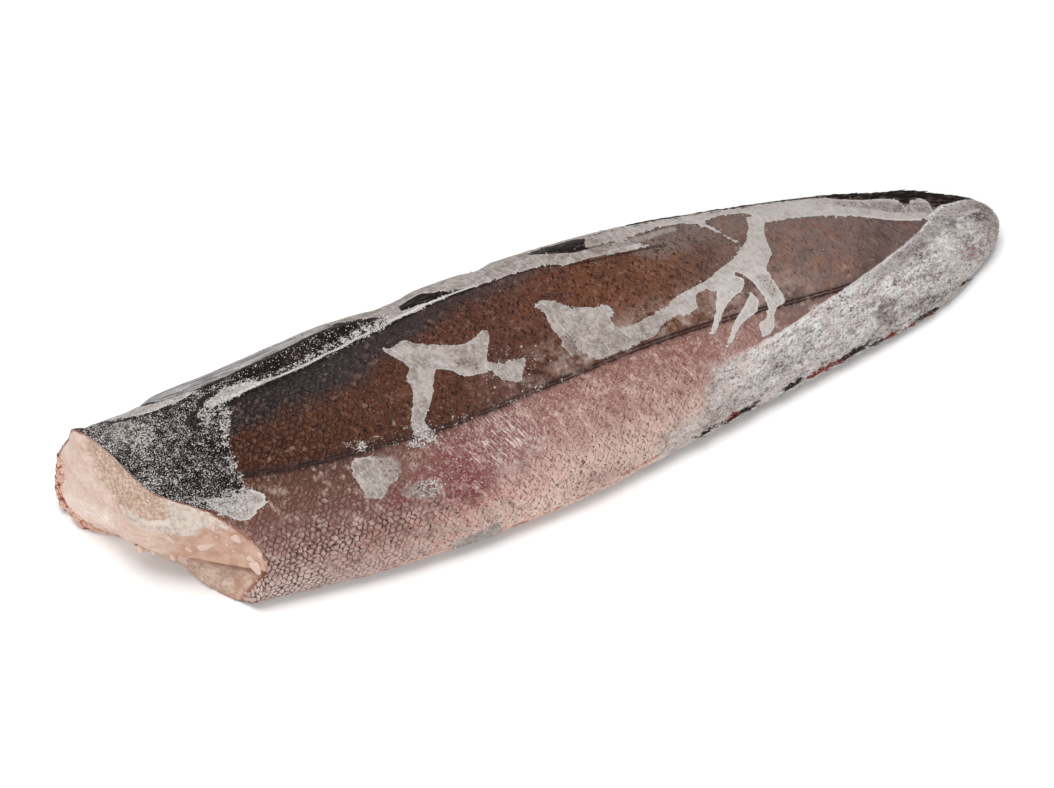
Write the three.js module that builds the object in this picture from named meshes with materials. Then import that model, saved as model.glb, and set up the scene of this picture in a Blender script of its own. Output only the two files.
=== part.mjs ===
// A frozen hake trunk: head, guts and tail fin are gone, and the fish lies on its
// right flank as it froze on a tray. The whole trunk is one solid with a flat underside,
// a thick back, a thin belly edge, a slanting cut where the head was, and a rounded stump.
// Units are millimetres. X runs from the head cut to the stump, +Y to the back, +Z up.
import * as THREE from "three";
import { mergeVertices } from "three/addons/utils/BufferGeometryUtils.js";

// Sizes along the trunk, at distances measured from the nape.
const LENGTH = 408;
const STATIONS = [0, 50, 110, 180, 240, 300, 350, 390];
const BELLY_REACH = [40, 46.5, 54, 54, 46, 37, 29, 19];
const BACK_REACH = [36.5, 44, 47.5, 49.5, 48.5, 42, 34.5, 26];
const HEIGHT = [61, 59, 62, 60.5, 54.5, 44.5, 34.5, 26];

// Proportions of every cross-section.
const CREST = 0.74;
const MIDDLE = 0.5;
const BELLY_EDGE_HEIGHT = 0.18;
const BACK_EDGE_HEIGHT = 0.32;
const ROUND_SHOULDER = 2.6;
const ROUND_FLANK = 2.0;
const ROUND_UNDER_BACK = 3.4;
const ROUND_UNDER_BELLY = 3.2;
const PRESSED_FLAT = 3;

// The head cut: how far back it lies across the fish, from the belly to the back.
const CUT_ACROSS = [-45, -34, -22, -10, 10, 42];
const CUT_SETBACK = [59.5, 54.5, 38.5, 18, 7, -7];
const CUT_UNDERCUT = 11.3;
const CUT_UNDERCUT_HEIGHT = 60;
const CUT_HEART_Y = -2;
const CUT_HEART_Z = 20;
const CUT_BULGE = 2.5;

// Below the slit the cut falls away under the fish, but the lower belly flap reaches forward.
const TUCK_ACROSS = [-40, -30, -20, -14, -3, 8, 20];
const TUCK_SETBACK = [-6, -6, 2, 12.5, 14.7, 9, 0];
const TUCK_HEIGHT = 20;

// The slit between the two belly flaps, seen on the cut.
const SLIT_DEPTH = 6;
const SLIT_START = 0.15;
const SLIT_COLUMN = 30;
const FLAP_STEP = 3;
const FLAP_STEP_HEIGHT = 12;
const FLAP_STEP_FROM = 4;
const FLAP_STEP_TO = 16;

// The stump where the tail was cut off.
const STUMP_DEPTH = 40;
const STUMP_BLUNTNESS = 1.8;
const STUMP_HEART = 0.42;

// Torn fin bases on the back and along the belly edge.
const BACK_FIN = { from: 252, to: 378, angle: 0.22, spread: 0.22, height: 1.6 };
const BELLY_FIN = { from: 196, to: 352, angle: 3.2, spread: 0.2, height: 1.1 };
const FADE = 14;

// Gentle dents of the frozen flank.
const DENT = 0.45;
const DENT_LENGTH = 29;

// Middle of the finished trunk, moved to the origin.
const CENTRE_X = 197.11;
const CENTRE_Y = -2.73;

// How finely the surface is divided.
const COLUMNS = 64;
const CUT_RINGS = 10;
const BODY_RINGS = 40;
const STUMP_RINGS = 10;

// A smooth curve through the values at the given stations.
function smooth(stations, values, at) {
  const last = stations.length - 1;
  const x = Math.min(Math.max(at, stations[0]), stations[last]);
  let i = 0;
  while (i < last - 1 && x >= stations[i + 1]) i += 1;
  const slope = (k) => {
    const a = Math.max(k - 1, 0);
    const b = Math.min(k + 1, last);
    return (values[b] - values[a]) / (stations[b] - stations[a]);
  };
  const step = stations[i + 1] - stations[i];
  const t = (x - stations[i]) / step;
  const rest = 1 - t;
  return (
    (1 + 2 * t) * rest * rest * values[i] +
    t * rest * rest * step * slope(i) +
    t * t * (3 - 2 * t) * values[i + 1] -
    t * t * rest * step * slope(i + 1)
  );
}

// A soft hill of height one at the middle of a span.
function hill(distance, spread) {
  const t = Math.min(Math.abs(distance) / spread, 1);
  return (1 - t * t) ** 2;
}

// One between two limits, fading out just past them.
function between(value, from, to, fade) {
  const rise = Math.min(Math.max((value - from) / fade, 0), 1);
  const fall = Math.min(Math.max((to - value) / fade, 0), 1);
  return rise * rise * (3 - 2 * rise) * fall * fall * (3 - 2 * fall);
}

// The skin's distance from the plain section: torn fins and shallow dents.
function relief(x, angle) {
  const ragged = 0.8 + 0.2 * Math.sin(x / 2.7) * Math.sin(x / 6.1 + 1);
  let out = DENT * Math.sin(x / DENT_LENGTH + 1.7 * Math.cos(angle)) * Math.sin(2 * angle + x / 60);
  for (const fin of [BACK_FIN, BELLY_FIN]) {
    out += fin.height * ragged * hill(angle - fin.angle, fin.spread) * between(x, fin.from, fin.to, FADE);
  }
  return out;
}

// A point of the skin, at a distance from the nape and an angle: 0 is the back,
// a quarter turn is the top, half a turn is the belly edge.
function skin(x, angle) {
  const belly = -smooth(STATIONS, BELLY_REACH, x);
  const back = smooth(STATIONS, BACK_REACH, x);
  const height = smooth(STATIONS, HEIGHT, x);
  const width = back - belly;
  const c = Math.cos(angle);
  const s = Math.sin(angle);
  const above = s >= 0;
  const behind = c >= 0;
  let roundness = behind ? ROUND_SHOULDER : ROUND_FLANK;
  if (!above) roundness = behind ? ROUND_UNDER_BACK : ROUND_UNDER_BELLY;
  const across = Math.abs(c) ** (2 / roundness);
  const upward = Math.abs(s) ** (2 / roundness);
  const crest = belly + (above ? CREST : MIDDLE) * width;
  const edge = height * (behind ? BACK_EDGE_HEIGHT : BELLY_EDGE_HEIGHT);
  let y = crest + (behind ? back - crest : belly - crest) * across;
  let z = edge + (above ? height - edge : -edge - PRESSED_FLAT) * upward;
  const bump = relief(x, angle);
  const middleY = belly + width / 2;
  const middleZ = STUMP_HEART * height;
  const reach = Math.hypot(y - middleY, z - middleZ);
  y += (bump * (y - middleY)) / reach;
  z += (bump * (z - middleZ)) / reach;
  z = Math.max(z, 0);
  const end = Math.min(Math.max((x - LENGTH + STUMP_DEPTH) / STUMP_DEPTH, 0), 1);
  const shrink = (1 - end ** STUMP_BLUNTNESS) ** (1 / STUMP_BLUNTNESS);
  return new THREE.Vector3(x, middleY + (y - middleY) * shrink, middleZ + (z - middleZ) * shrink);
}

// How far behind the nape the head cut lies at a point of its face.
function cutSetback(y, z) {
  const low = Math.min(Math.max(1 - z / CUT_UNDERCUT_HEIGHT, 0), 1);
  const lowest = Math.min(Math.max(1 - z / TUCK_HEIGHT, 0), 1);
  const tuck = smooth(TUCK_ACROSS, TUCK_SETBACK, y) * lowest;
  return smooth(CUT_ACROSS, CUT_SETBACK, y) - CUT_UNDERCUT * low + tuck + flapStep(y, z);
}

// How far the lower belly flap lies behind the upper one, just below the slit.
function flapStep(y, z) {
  const outward = Math.min(Math.max((-y - FLAP_STEP_FROM) / (FLAP_STEP_TO - FLAP_STEP_FROM), 0), 1);
  const below = TUCK_HEIGHT - z;
  if (below <= 0) return 0;
  return FLAP_STEP * outward * Math.min(below, 1) * Math.max(1 - below / FLAP_STEP_HEIGHT, 0);
}

// Depth of the slit between the flaps, out along the cut towards the belly edge.
function slit(part, angle) {
  const column = (2 * Math.PI) / COLUMNS;
  const open = Math.min(Math.max((part - SLIT_START) / (1 - SLIT_START), 0), 1);
  return SLIT_DEPTH * Math.sqrt(open) * Math.max(1 - Math.abs(angle / column - SLIT_COLUMN), 0);
}

// A point of the cut face: part 0 is its heart, part 1 its rim on the skin.
function cutFace(part, angle) {
  const square = skin(0, angle);
  const rim = skin(cutSetback(square.y, square.z) + slit(1, angle), angle);
  if (part >= 1) return rim;
  const y = CUT_HEART_Y + part * (square.y - CUT_HEART_Y);
  const z = CUT_HEART_Z + part * (square.z - CUT_HEART_Z);
  const x = cutSetback(y, z) + slit(part, angle) - CUT_BULGE * (1 - part ** 3);
  return new THREE.Vector3(
    x,
    CUT_HEART_Y + part * (rim.y - CUT_HEART_Y),
    CUT_HEART_Z + part * (rim.z - CUT_HEART_Z),
  );
}

// Ring numbers run 0 to 1 over the cut, 1 to 2 over the body and 2 to 3 over the stump.
function trunkPoint(ring, angle) {
  if (ring <= 1) return cutFace(ring, angle);
  const front = cutFace(1, angle).x;
  const shoulder = LENGTH - STUMP_DEPTH;
  if (ring <= 2) return skin(front + (ring - 1) * (shoulder - front), angle);
  const inset = Math.sin(((ring - 2) * Math.PI) / 2) ** (2 / STUMP_BLUNTNESS);
  return skin(shoulder + STUMP_DEPTH * inset, angle);
}

// The trunk: a turned capsule whose every point is moved to its place on the fish.
function makeTrunk() {
  const profile = [];
  for (let i = 0; i <= CUT_RINGS; i += 1) {
    profile.push(new THREE.Vector2(i / CUT_RINGS, i / CUT_RINGS));
  }
  for (let i = 1; i <= BODY_RINGS; i += 1) {
    profile.push(new THREE.Vector2(1, 1 + i / BODY_RINGS));
  }
  for (let i = 1; i <= STUMP_RINGS; i += 1) {
    const t = i / STUMP_RINGS;
    profile.push(new THREE.Vector2(i === STUMP_RINGS ? 0 : 1 - 0.5 * t, 2 + t));
  }
  const turned = new THREE.LatheGeometry(profile, COLUMNS);
  turned.rotateX(Math.PI / 2);
  turned.rotateY(Math.PI / 2);
  turned.deleteAttribute("normal");
  turned.deleteAttribute("uv");
  const geometry = mergeVertices(turned, 1e-5);
  const points = geometry.attributes.position;
  for (let i = 0; i < points.count; i += 1) {
    const ring = points.getX(i);
    let angle = Math.atan2(points.getZ(i), points.getY(i));
    if (angle < 0) angle += 2 * Math.PI;
    const place = trunkPoint(ring, angle);
    points.setXYZ(i, place.x - CENTRE_X, place.y - CENTRE_Y, place.z);
  }
  geometry.computeVertexNormals();
  return geometry;
}

const group = new THREE.Group();
const frozenSkin = new THREE.MeshStandardMaterial({ color: 0x7a5c50, roughness: 0.55, metalness: 0 });
const hake = new THREE.Mesh(makeTrunk(), frozenSkin);
hake.name = "hake";
group.add(hake);

export default group;
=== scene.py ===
import math

import bmesh
import bpy
import numpy as np
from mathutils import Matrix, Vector, noise


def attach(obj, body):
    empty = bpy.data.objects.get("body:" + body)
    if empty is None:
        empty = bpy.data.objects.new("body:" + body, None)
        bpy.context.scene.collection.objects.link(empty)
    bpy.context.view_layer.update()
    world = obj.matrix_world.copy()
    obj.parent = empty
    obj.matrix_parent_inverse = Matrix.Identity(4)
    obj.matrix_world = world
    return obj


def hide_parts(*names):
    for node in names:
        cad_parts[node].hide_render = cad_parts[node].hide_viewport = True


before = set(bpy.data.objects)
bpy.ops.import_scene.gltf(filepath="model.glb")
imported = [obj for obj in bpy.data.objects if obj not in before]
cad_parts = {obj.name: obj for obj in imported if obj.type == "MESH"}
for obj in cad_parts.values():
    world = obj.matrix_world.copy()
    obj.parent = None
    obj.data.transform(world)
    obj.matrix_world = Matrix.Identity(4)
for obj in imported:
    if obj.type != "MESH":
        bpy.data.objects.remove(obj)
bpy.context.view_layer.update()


# The view: the trunk is seen from above its left flank and from the head end, through
# a short telephoto lens about a metre away.
VIEW_AIM = Vector((-0.0209, -0.0087, 0.030))
VIEW_TURN = math.radians(-23.9)
VIEW_RISE = math.radians(55)
VIEW_DISTANCE = 1.023
VIEW_LENS, VIEW_SENSOR = 85, 36
VIEW_NEAREST = 0.05

view_back = Vector((
    math.sin(VIEW_TURN) * math.cos(VIEW_RISE),
    -math.cos(VIEW_TURN) * math.cos(VIEW_RISE),
    math.sin(VIEW_RISE),
))
view_data = bpy.data.cameras.new("view")
view_data.lens = VIEW_LENS
view_data.sensor_width = VIEW_SENSOR
view_data.clip_start = VIEW_NEAREST
view = bpy.data.objects.new("view", view_data)
view.location = VIEW_AIM + view_back * VIEW_DISTANCE
view.rotation_euler = (-view_back).to_track_quat("-Z", "Y").to_euler()
bpy.context.collection.objects.link(view)
bpy.context.scene.camera = view
bpy.context.scene.view_settings.view_transform = "Standard"


# The table: a plain white sheet far wider than the fish, so that only a soft
# shadow marks where the trunk lies on it.
TABLE_HALF = 6.0
TABLE_COLOUR = (250, 250, 250)
TABLE_ROUGHNESS, TABLE_SHINE = 0.9, 0.1


def shade(red, green, blue):
    """A colour given as it looks on a screen, 0 to 255, as linear light."""
    def linear(part):
        part = part / 255
        return part / 12.92 if part <= 0.04045 else ((part + 0.055) / 1.055) ** 2.4
    return (linear(red), linear(green), linear(blue), 1.0)


def make_piece(name, shape):
    """A piece of the scene with the finished shape as its mesh."""
    mesh = bpy.data.meshes.new(name)
    shape.to_mesh(mesh)
    shape.free()
    piece = bpy.data.objects.new(name, mesh)
    bpy.context.collection.objects.link(piece)
    return piece


table_shape = bmesh.new()
bmesh.ops.create_grid(table_shape, x_segments=1, y_segments=1, size=TABLE_HALF)
table = make_piece("table", table_shape)
table_white = bpy.data.materials.new("table_white")
table_white.use_nodes = True
table_surface = table_white.node_tree.nodes["Principled BSDF"]
table_surface.inputs["Base Color"].default_value = shade(*TABLE_COLOUR)
table_surface.inputs["Roughness"].default_value = TABLE_ROUGHNESS
table_surface.inputs["Specular IOR Level"].default_value = TABLE_SHINE
table.data.materials.append(table_white)


# The studio light: a soft box nearly overhead, a weaker one low from the belly and the
# cut, and a white room. It is bright enough that the table keeps only a narrow shadow.
ROOM_BRIGHTNESS = 0.32
LIGHTS = {
    "light_overhead": dict(place=(-0.10, 0.12, 1.5), size=0.9, power=19.5),
    "light_from_belly": dict(place=(-1.15, -1.0, 0.85), size=1.0, power=10.5),
}

room = bpy.data.worlds.new("white_room")
room.use_nodes = True
room.node_tree.nodes["Background"].inputs["Color"].default_value = (1, 1, 1, 1)
room.node_tree.nodes["Background"].inputs["Strength"].default_value = ROOM_BRIGHTNESS
bpy.context.scene.world = room
for name, light in LIGHTS.items():
    lamp_data = bpy.data.lights.new(name, "AREA")
    lamp_data.energy = light["power"]
    lamp_data.size = light["size"]
    lamp = bpy.data.objects.new(name, lamp_data)
    lamp.location = light["place"]
    lamp.rotation_euler = (-Vector(light["place"])).to_track_quat("-Z", "Y").to_euler()
    bpy.context.collection.objects.link(lamp)


# The trunk: frozen flesh in its own skin, one piece. The head was cut off on a slant,
# the guts were drawn, the tail was trimmed, and the fish froze on its right flank.
# Distances run from the nape along the fish, and round it from the crest of its flank.
LENGTH = 408.0
STATIONS = [0, 50, 110, 180, 240, 300, 350, 390]
BELLY_REACH = [40, 46.5, 54, 54, 46, 37, 29, 19]
BACK_REACH = [36.5, 44, 47.5, 49.5, 48.5, 42, 34.5, 26]
HEIGHT = [61, 59, 62, 60.5, 54.5, 44.5, 34.5, 26]
CREST = 0.74
BELLY_EDGE_HEIGHT, BACK_EDGE_HEIGHT = 0.18, 0.32
ROUND_SHOULDER, ROUND_FLANK, ROUND_UNDER_BACK, ROUND_UNDER_BELLY = 2.6, 2.0, 3.4, 3.2
PRESSED_FLAT = 3.0
CUT_ACROSS = [-45, -34, -22, -10, 10, 42]
CUT_SETBACK = [59.5, 54.5, 38.5, 18, 7, -7]
CUT_UNDERCUT, CUT_UNDERCUT_HEIGHT = 11.3, 60.0
CUT_HEART = (-2.0, 20.0)
CUT_BULGE = 2.5
TUCK_ACROSS = [-40, -30, -20, -14, -3, 8, 20]
TUCK_SETBACK = [-6, -6, 2, 12.5, 14.7, 9, 0]
TUCK_HEIGHT = 20.0
SLIT_ACROSS = [-39, -35, -29, -24, -18, -13, -3]
SLIT_HEIGHT = [21.5, 20.3, 18.4, 17.6, 17.6, 18.4, 21.5]
SLIT_DEPTH, SLIT_WIDTH = 5.0, 1.3
FLAP_STEP, FLAP_STEP_HEIGHT = 3.4, 12.0
LIP_HEIGHT, LIP_ABOVE_SLIT, LIP_WIDTH = 1.1, 3.0, 2.2
BACK_HOLLOW_DEPTH, BACK_HOLLOW_AT, BACK_HOLLOW_HALF = 2.2, (36.0, 45.0), (7.0, 9.0)
STUMP_DEPTH, STUMP_BLUNTNESS, STUMP_HEART = 40.0, 1.8, 0.42
STUMP_LEAN, STUMP_LEAN_FROM = (2.0, 0.2), 34
BACK_HOLLOWS = ([0, 6, 14, 24, 32, 50, 86, 104, 122, 130, 140, 148, 166, 176, 184, 230, 340, 350,
                 358, 368, 376, 388, 404],
                [-1, -1.7, -2.5, -2.9, -1, -1.2, -1.6, -1.2, -2.5, -3.3, -2.9, -1.6, -1.6, -2.5, -1,
                 -0.9, -1, -1.8, -2.4, -2.4, -2.0, -1.5, -1.0])
CENTRE = (197.11, -2.73)
COLUMNS, CUT_RINGS, BODY_RINGS, STUMP_RINGS = 240, 60, 292, 40
MERGE_DISTANCE = 1e-5

# The turns from the back at which the skin goes out of sight, over the ridge and under
# the belly edge.
BACK_HIDDEN_BELOW, UNDERSIDE_FROM = 0.4, 3.62

# How finely the skin is measured when it is unrolled.
FIRST_STATION, STATION_COUNT, TURN_COUNT = -30, 110, 721

# Where the lateral line runs: distance from the nape, and down from the crest.
LATERAL_LINE = ([17, 43, 77, 98, 138, 181, 226, 270, 322, 400],
                [28, 35, 43, 46, 49.5, 48, 45, 42, 38, 24])

# Thin sheets of ice that froze on the flank, as outlines on the unrolled skin.
ICE_FILMS = {
    "fork": [(123, 9), (126, 10.5), (133, 8.5), (136, 11.5), (139.5, 14), (144, 16), (148, 18),
             (154, 20), (159.5, 19), (166, 16), (165.5, 21), (163, 25), (160.5, 29.5), (158, 32),
             (161, 35), (157, 34.5), (152, 34), (148, 32.5), (145, 28.5), (139.5, 26), (137.5, 29),
             (135.5, 34), (131, 40), (126.5, 45), (129, 48), (127, 51), (123, 50), (120.5, 48),
             (122, 42.5), (125, 37.5), (127.5, 31), (127, 25), (130, 22), (127, 15.5), (124, 12)],
    "fork_tip": [(158, 31.5), (162, 31), (166, 33.5), (170, 33.5), (177, 33.5), (173.5, 38),
                 (170.5, 42.5), (168, 43.5), (165, 41), (162, 39), (161, 35)],
    "bat": [(188, 12.5), (192, 12.5), (197.5, 15), (201, 19.5), (205, 21), (212, 23), (217.5, 23),
            (219, 28), (216, 30.5), (217, 35), (222, 35.5), (226, 35), (234, 33), (242, 31.5),
            (245, 29), (251, 27), (258, 25.5), (264, 23.5), (268, 21.5), (278, 17), (286, 11),
            (292, 4), (294, -3), (304, -3), (299, 4), (297, 9), (296, 18), (290, 24), (284, 27),
            (279, 26), (272, 25), (267, 29), (264, 30), (261, 28), (256, 29), (254, 32), (254, 35),
            (248, 37.5), (244, 36), (240, 37.5), (236, 39), (231, 42.5), (221, 43.5), (212, 44.5),
            (204, 45), (201, 43), (198, 38.5), (194, 40), (192, 35), (193, 32), (191, 27),
            (191, 20)],
    "web_left": [(270, 24), (266, 28), (263, 33), (259.5, 40), (253, 48.5), (256, 48), (262, 41.5),
                 (268, 36.5), (274, 33), (279, 28), (277, 23)],
    "web_middle": [(279, 33), (274, 38), (267, 44), (262, 50), (256, 56.5), (262, 53), (268, 47),
                   (273, 44), (278, 42), (281, 37)],
    "web_right": [(279, 26), (282, 31), (283, 36), (283, 40), (281.5, 45), (277, 47), (276, 53),
                  (280, 52.5), (283, 50), (285, 45), (287, 42), (292, 40), (292.5, 36), (291, 31),
                  (290, 25), (287, 22)],
    "line_blot": [(93.5, 50), (96, 48), (99, 49), (105, 51), (110, 54), (111, 57), (109.5, 62),
                  (105, 63.5), (101, 66.5), (96, 65.5), (94.5, 60), (93, 55)],
    "cut_lump": [(36, 40), (40, 41.5), (44, 43), (48, 44), (50.5, 42), (52, 43), (54, 44.3),
                 (56.5, 45.5), (58, 48), (57.6, 50.4), (55.8, 52), (53, 51.9), (52, 53.4),
                 (49.5, 54.3), (46, 53.8), (42, 50.2), (38, 46), (35, 42)],
    "belly_edge": [(125, 101.5), (132, 99.5), (138, 98), (145, 97.5), (146, 112), (125, 112)],
    "nape": [(2, -16), (8, -13.5), (13, -9), (20, -5.5), (28, -3), (40, -2.5), (49, -4.5),
             (44, -5.5), (32, -6.5), (27, -9), (25, -16), (26, -24), (31, -34), (2, -34)],
    "fringe": [(48, 7.5), (54, 5.4), (62, 4.9), (74, 4.2), (86, 3.9), (74, 3.3), (68, 1.6),
               (63, 0.4), (57, 0.8), (51, 3.0)],
    "leaf_vein": [(272.5, -3), (276, 0), (280, 5.5), (284, 11.5), (285, 11), (281.5, 5),
                  (277.5, -1), (274.5, -5)],
    "along_back": [(78, -18), (90, -15.5), (100, -14), (112, -13), (122, -9.5), (130, -5.5),
                   (128, -1.5), (140, -2.5), (160, -4), (180, -4), (200, -3.5), (209, 0),
                   (222, 0.5), (235, 2), (247, 2.5), (246, 0.5), (240, -2), (240, -5), (254, -7),
                   (265, -7), (273, -3.5), (276, -5.5), (285, -7.5), (295, -5.5), (302, 2),
                   (312, 2), (322, 2.5), (340, 5.5), (354, 10), (364, 12), (378, 12), (378, -34),
                   (78, -34)],
}
MILKY_FILMS = ("cut_lump", "nape", "fringe", "web_left", "web_middle", "web_right")
BARE_IN_FILMS = {
    "speckled_oval": [(279, 32), (275, 36), (270, 41), (264, 45), (260, 46), (262, 41), (266, 37),
                      (272, 33)],
    "back_wedge": [(137, -4.5), (137.5, -9), (142, -11), (148, -12.5), (152, -9.5), (161, -5.5),
                   (167, -4.7)],
    "back_window": [(197, -15), (205, -17), (218, -16), (224, -13), (222, -9), (221, -6),
                    (234, -4.5), (232, -3.8), (215, -5), (205, -9), (199, -12)],
    "back_streak": [(243, -15), (270, -14), (300, -12), (332, -9.5), (332, -13), (300, -14.5),
                    (270, -16.5), (245, -17.5)],
    "web_crease": [(276, 23), (279, 25), (282, 30), (283.8, 36), (283.6, 42), (282.2, 42),
                   (282.1, 36), (280.6, 31), (278, 26.5), (275.5, 24.5)],
    "torn_fin": [(330, -16), (410, -16), (410, -5.5), (404, -3.5), (399, -1.8), (393.5, 0),
                 (388, 2), (386, 3.4), (383, 3.2), (380.4, 6), (378.4, 4.4), (378.6, 1.6),
                 (375, 0.2), (372, 0.2), (369, 2.4), (366, 4.2), (365, 1.2), (364, -0.6), (358, -2),
                 (348.5, -3), (342, -4.6), (336, -6.6)],
}
TORN_PARTS = ("torn_fin", "back_streak", "back_wedge", "back_window")
THIN_IN_FILMS = {
    "bat_loop": [(193, 31), (197, 30), (200, 35), (199, 40), (195, 40.5), (193, 36)],
    "bat_fold": [(206, 37), (211, 31), (216, 29), (213, 33), (210, 38), (207, 41)],
    "fork_arm": [(146, 25), (155, 26), (158, 30), (155, 34), (149, 29)],
    "blot_right": [(103, 50), (112, 53), (112, 60), (105, 63), (104, 57)],
    "web_mid": [(284, 26), (290, 27), (291, 36), (287, 38), (285, 32)],
    "belly_blot": [(109, 66), (115, 66), (123, 72), (120, 74.5), (112, 72), (108, 69.5)],
    "under_fin": [(335, -5), (350, -1.5), (366, 2), (378, 3), (377, 9), (360, 7), (345, 1.5),
                  (334, -2)],
    "lump_heart": [(53, 46.4), (55.6, 47.2), (56, 49.6), (53.4, 50.2)],
    "back_of_bat": [(222, -6), (240, -4), (262, -6), (262, -3), (240, -0.5), (222, -1)],
}
CRUMBLY_ICE = {
    "fork_foot": [(118, 51), (122, 47), (125, 45), (129, 46), (130, 50), (129, 52.5), (124, 53),
                  (120, 53)],
    "over_blot": [(95, 42), (101, 43), (104, 46.5), (99, 45.5)],
    "collar": [(54.5, 10), (58, 9.5), (54.5, 16), (52, 24), (51.2, 38), (53, 43), (50.5, 43),
               (49.5, 30), (50, 20), (52, 14)],
    "collar_foot": [(44, 40), (52, 42), (52, 47), (45, 46)],
    "lump_crust": [(34, 40), (42, 42.5), (47, 44.5), (50, 47), (50, 51), (47, 52.5), (42, 49.5),
                   (37, 45)],
    "wedge": [(45, 7), (50, 3), (60, 0.5), (70, 2), (69, 3.4), (60, 4.4), (54, 7.5), (47, 11),
              (44, 10)],
    "nape_edge": [(2, -12), (12, -9), (24, -4.5), (40, -2.5), (52, -4), (52, -6), (40, -5),
                  (24, -7)],
    "nape_cloud": [(14, -3), (22, -1), (27, 3), (26, 9), (20, 12), (13, 5)],
    "fringe": [(50, 4), (58, -0.6), (66, -0.8), (70, 0.2), (68, 1.8), (74, 2.7), (84, 2.6),
               (98, 1.0), (108, -1.2), (118, -3.6), (128, -5.8), (134, -6), (133, -3), (124, -0.8),
               (112, 1.2), (100, 2.2), (84, 3.2), (70, 3.6), (60, 4.6)],
    "belly_blot": [(113, 68), (121, 67), (125, 71), (120, 75)],
}
SPRINKLED = {
    "round_fork_tip": [(158, 28), (168, 27), (180, 29), (190, 36), (180, 42), (166, 46), (156, 42)],
    "bat_back": [(221, 34), (234, 31), (246, 27), (254, 25), (256, 27), (246, 31), (234, 35),
                 (222, 37)],
    "over_line": [(100, 40), (120, 44), (150, 46), (190, 45), (190, 49), (150, 51), (112, 51)],
    "under_line": [(120, 56), (150, 54), (170, 60), (165, 74), (140, 78), (118, 70)],
    "bat_foot": [(184, 36), (194, 42), (200, 46), (190, 47), (180, 44)],
    "nape": [(4, -8), (50, 0), (52, 42), (30, 40), (10, 14)],
}
FROSTED_TAIL = [(374, 12), (365, 18), (354, 24), (341, 30), (327, 36), (320, 39), (310, 42.5),
                (301, 46), (292, 49.5), (285, 52), (277, 54), (267, 57), (260, 59), (252, 60),
                (247, 64), (244, 69), (240, 72), (238, 79), (230, 82), (222, 86), (216, 95),
                (212, 130), (430, 130), (430, -30), (412, -10), (404, -3.8), (399, -2),
                (393.5, -0.2), (388, 1.8), (383, 3.6), (380, 6), (377, 8), (374, 10)]
SPECKLED_NAPE = [(-20, -9), (4, -12), (10, -9), (14, -5.5), (22, -3.5), (30, -1.5), (42, -1),
                 (48, -3), (60, -5), (75, -6), (90, -8), (104, -10), (120, -9), (128, -7),
                 (118, -4), (110, -0.5), (95, 1), (80, 2), (70, 2), (64, 0), (56, -1.5), (49, -1),
                 (46, 2), (42, 5), (40, 9), (44, 13), (54, 9), (56.5, 9), (53.5, 18), (51.5, 28),
                 (51, 40), (53, 44), (44, 47), (30, 42), (20, 36), (-20, 30)]
STRIPED_FIN_BED = [(30, -17), (27, -12), (33, -7), (45, -5.5), (60, -6.5), (75, -8), (88, -9),
                   (100, -11), (110, -12), (108, -14), (95, -14), (80, -17), (50, -19)]
NAPE_CREASE = ([42, 47, 52, 57, 64, 80, 90, 100, 110, 120, 130, 145, 160, 200, 212, 235, 250],
               [15, 9.5, 7.0, 6.0, 5.4, 5.0, 4.6, 3.6, 2.4, 0.8, -1.0, -2.6, -3.4, -2.8, 0.8, 2.8,
                3.2])
SLATE_EDGE = ([40, 60, 100, 130, 160, 200, 235, 262, 290], [18, 20, 20, 13, 5, 0, 4, 9, 4])
BELLY_SEAM = ([40, 60, 110, 160, 205, 235, 262], [100, 101, 103.5, 104.5, 97.5, 91.5, 86.5])
BELLY_SHREDS = {
    "black": [(242, 90, 6, 1.4), (259, 86.5, 9, 2.0), (287, 78, 6, 1.9), (318, 69, 8, 1.8),
              (331, 66.5, 4, 1.2), (358, 57, 6, 1.6), (382, 42.5, 3.5, 1.0)],
    "red": [(255, 86, 3, 1.4), (297, 75.5, 4, 1.8), (304, 74, 6, 1.9), (313, 72, 3, 1.3),
            (339, 64, 5, 1.1), (349, 61, 4, 1.0), (360, 57.5, 3, 1.0)],
}
SHRED_SLANT = 0.36

# Soft spots on the unrolled skin: middle along and round, half sizes, and strength.
# The last of the blushes darkens the skin by the belly edge, near the seam.
BLUSHES = [(137, 78, 11, 7, 1.0), (107, 70, 5, 4, 0.8), (160, 62, 22, 9, 0.45),
           (240, 54, 26, 6, 0.25), (134, 65, 16, 11, 0.9), (192, 95, 14, 7, 0.5)]
INK_BLOTS = [(66, 76, 17, 8, 1.0), (56, 92, 16, 9, 0.9), (108, 80, 22, 8, 0.5)]
HOAR_PATCH = [(156, 62, 14, 10, 1.0)]
HAZE_PATCH = [(15, 1, 6, 6, 1.0)]
STAINS = [(337, 51, 9, 5, 1.0), (401, 5, 6, 7, 1.0), (384, 13, 6, 4, 1.0), (394, 9, 6, 3.5, 1.0)]
RED_STAINS = [(388, 26, 9, 6, 1.0), (398, 16, 6, 8, 0.6)]

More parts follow.
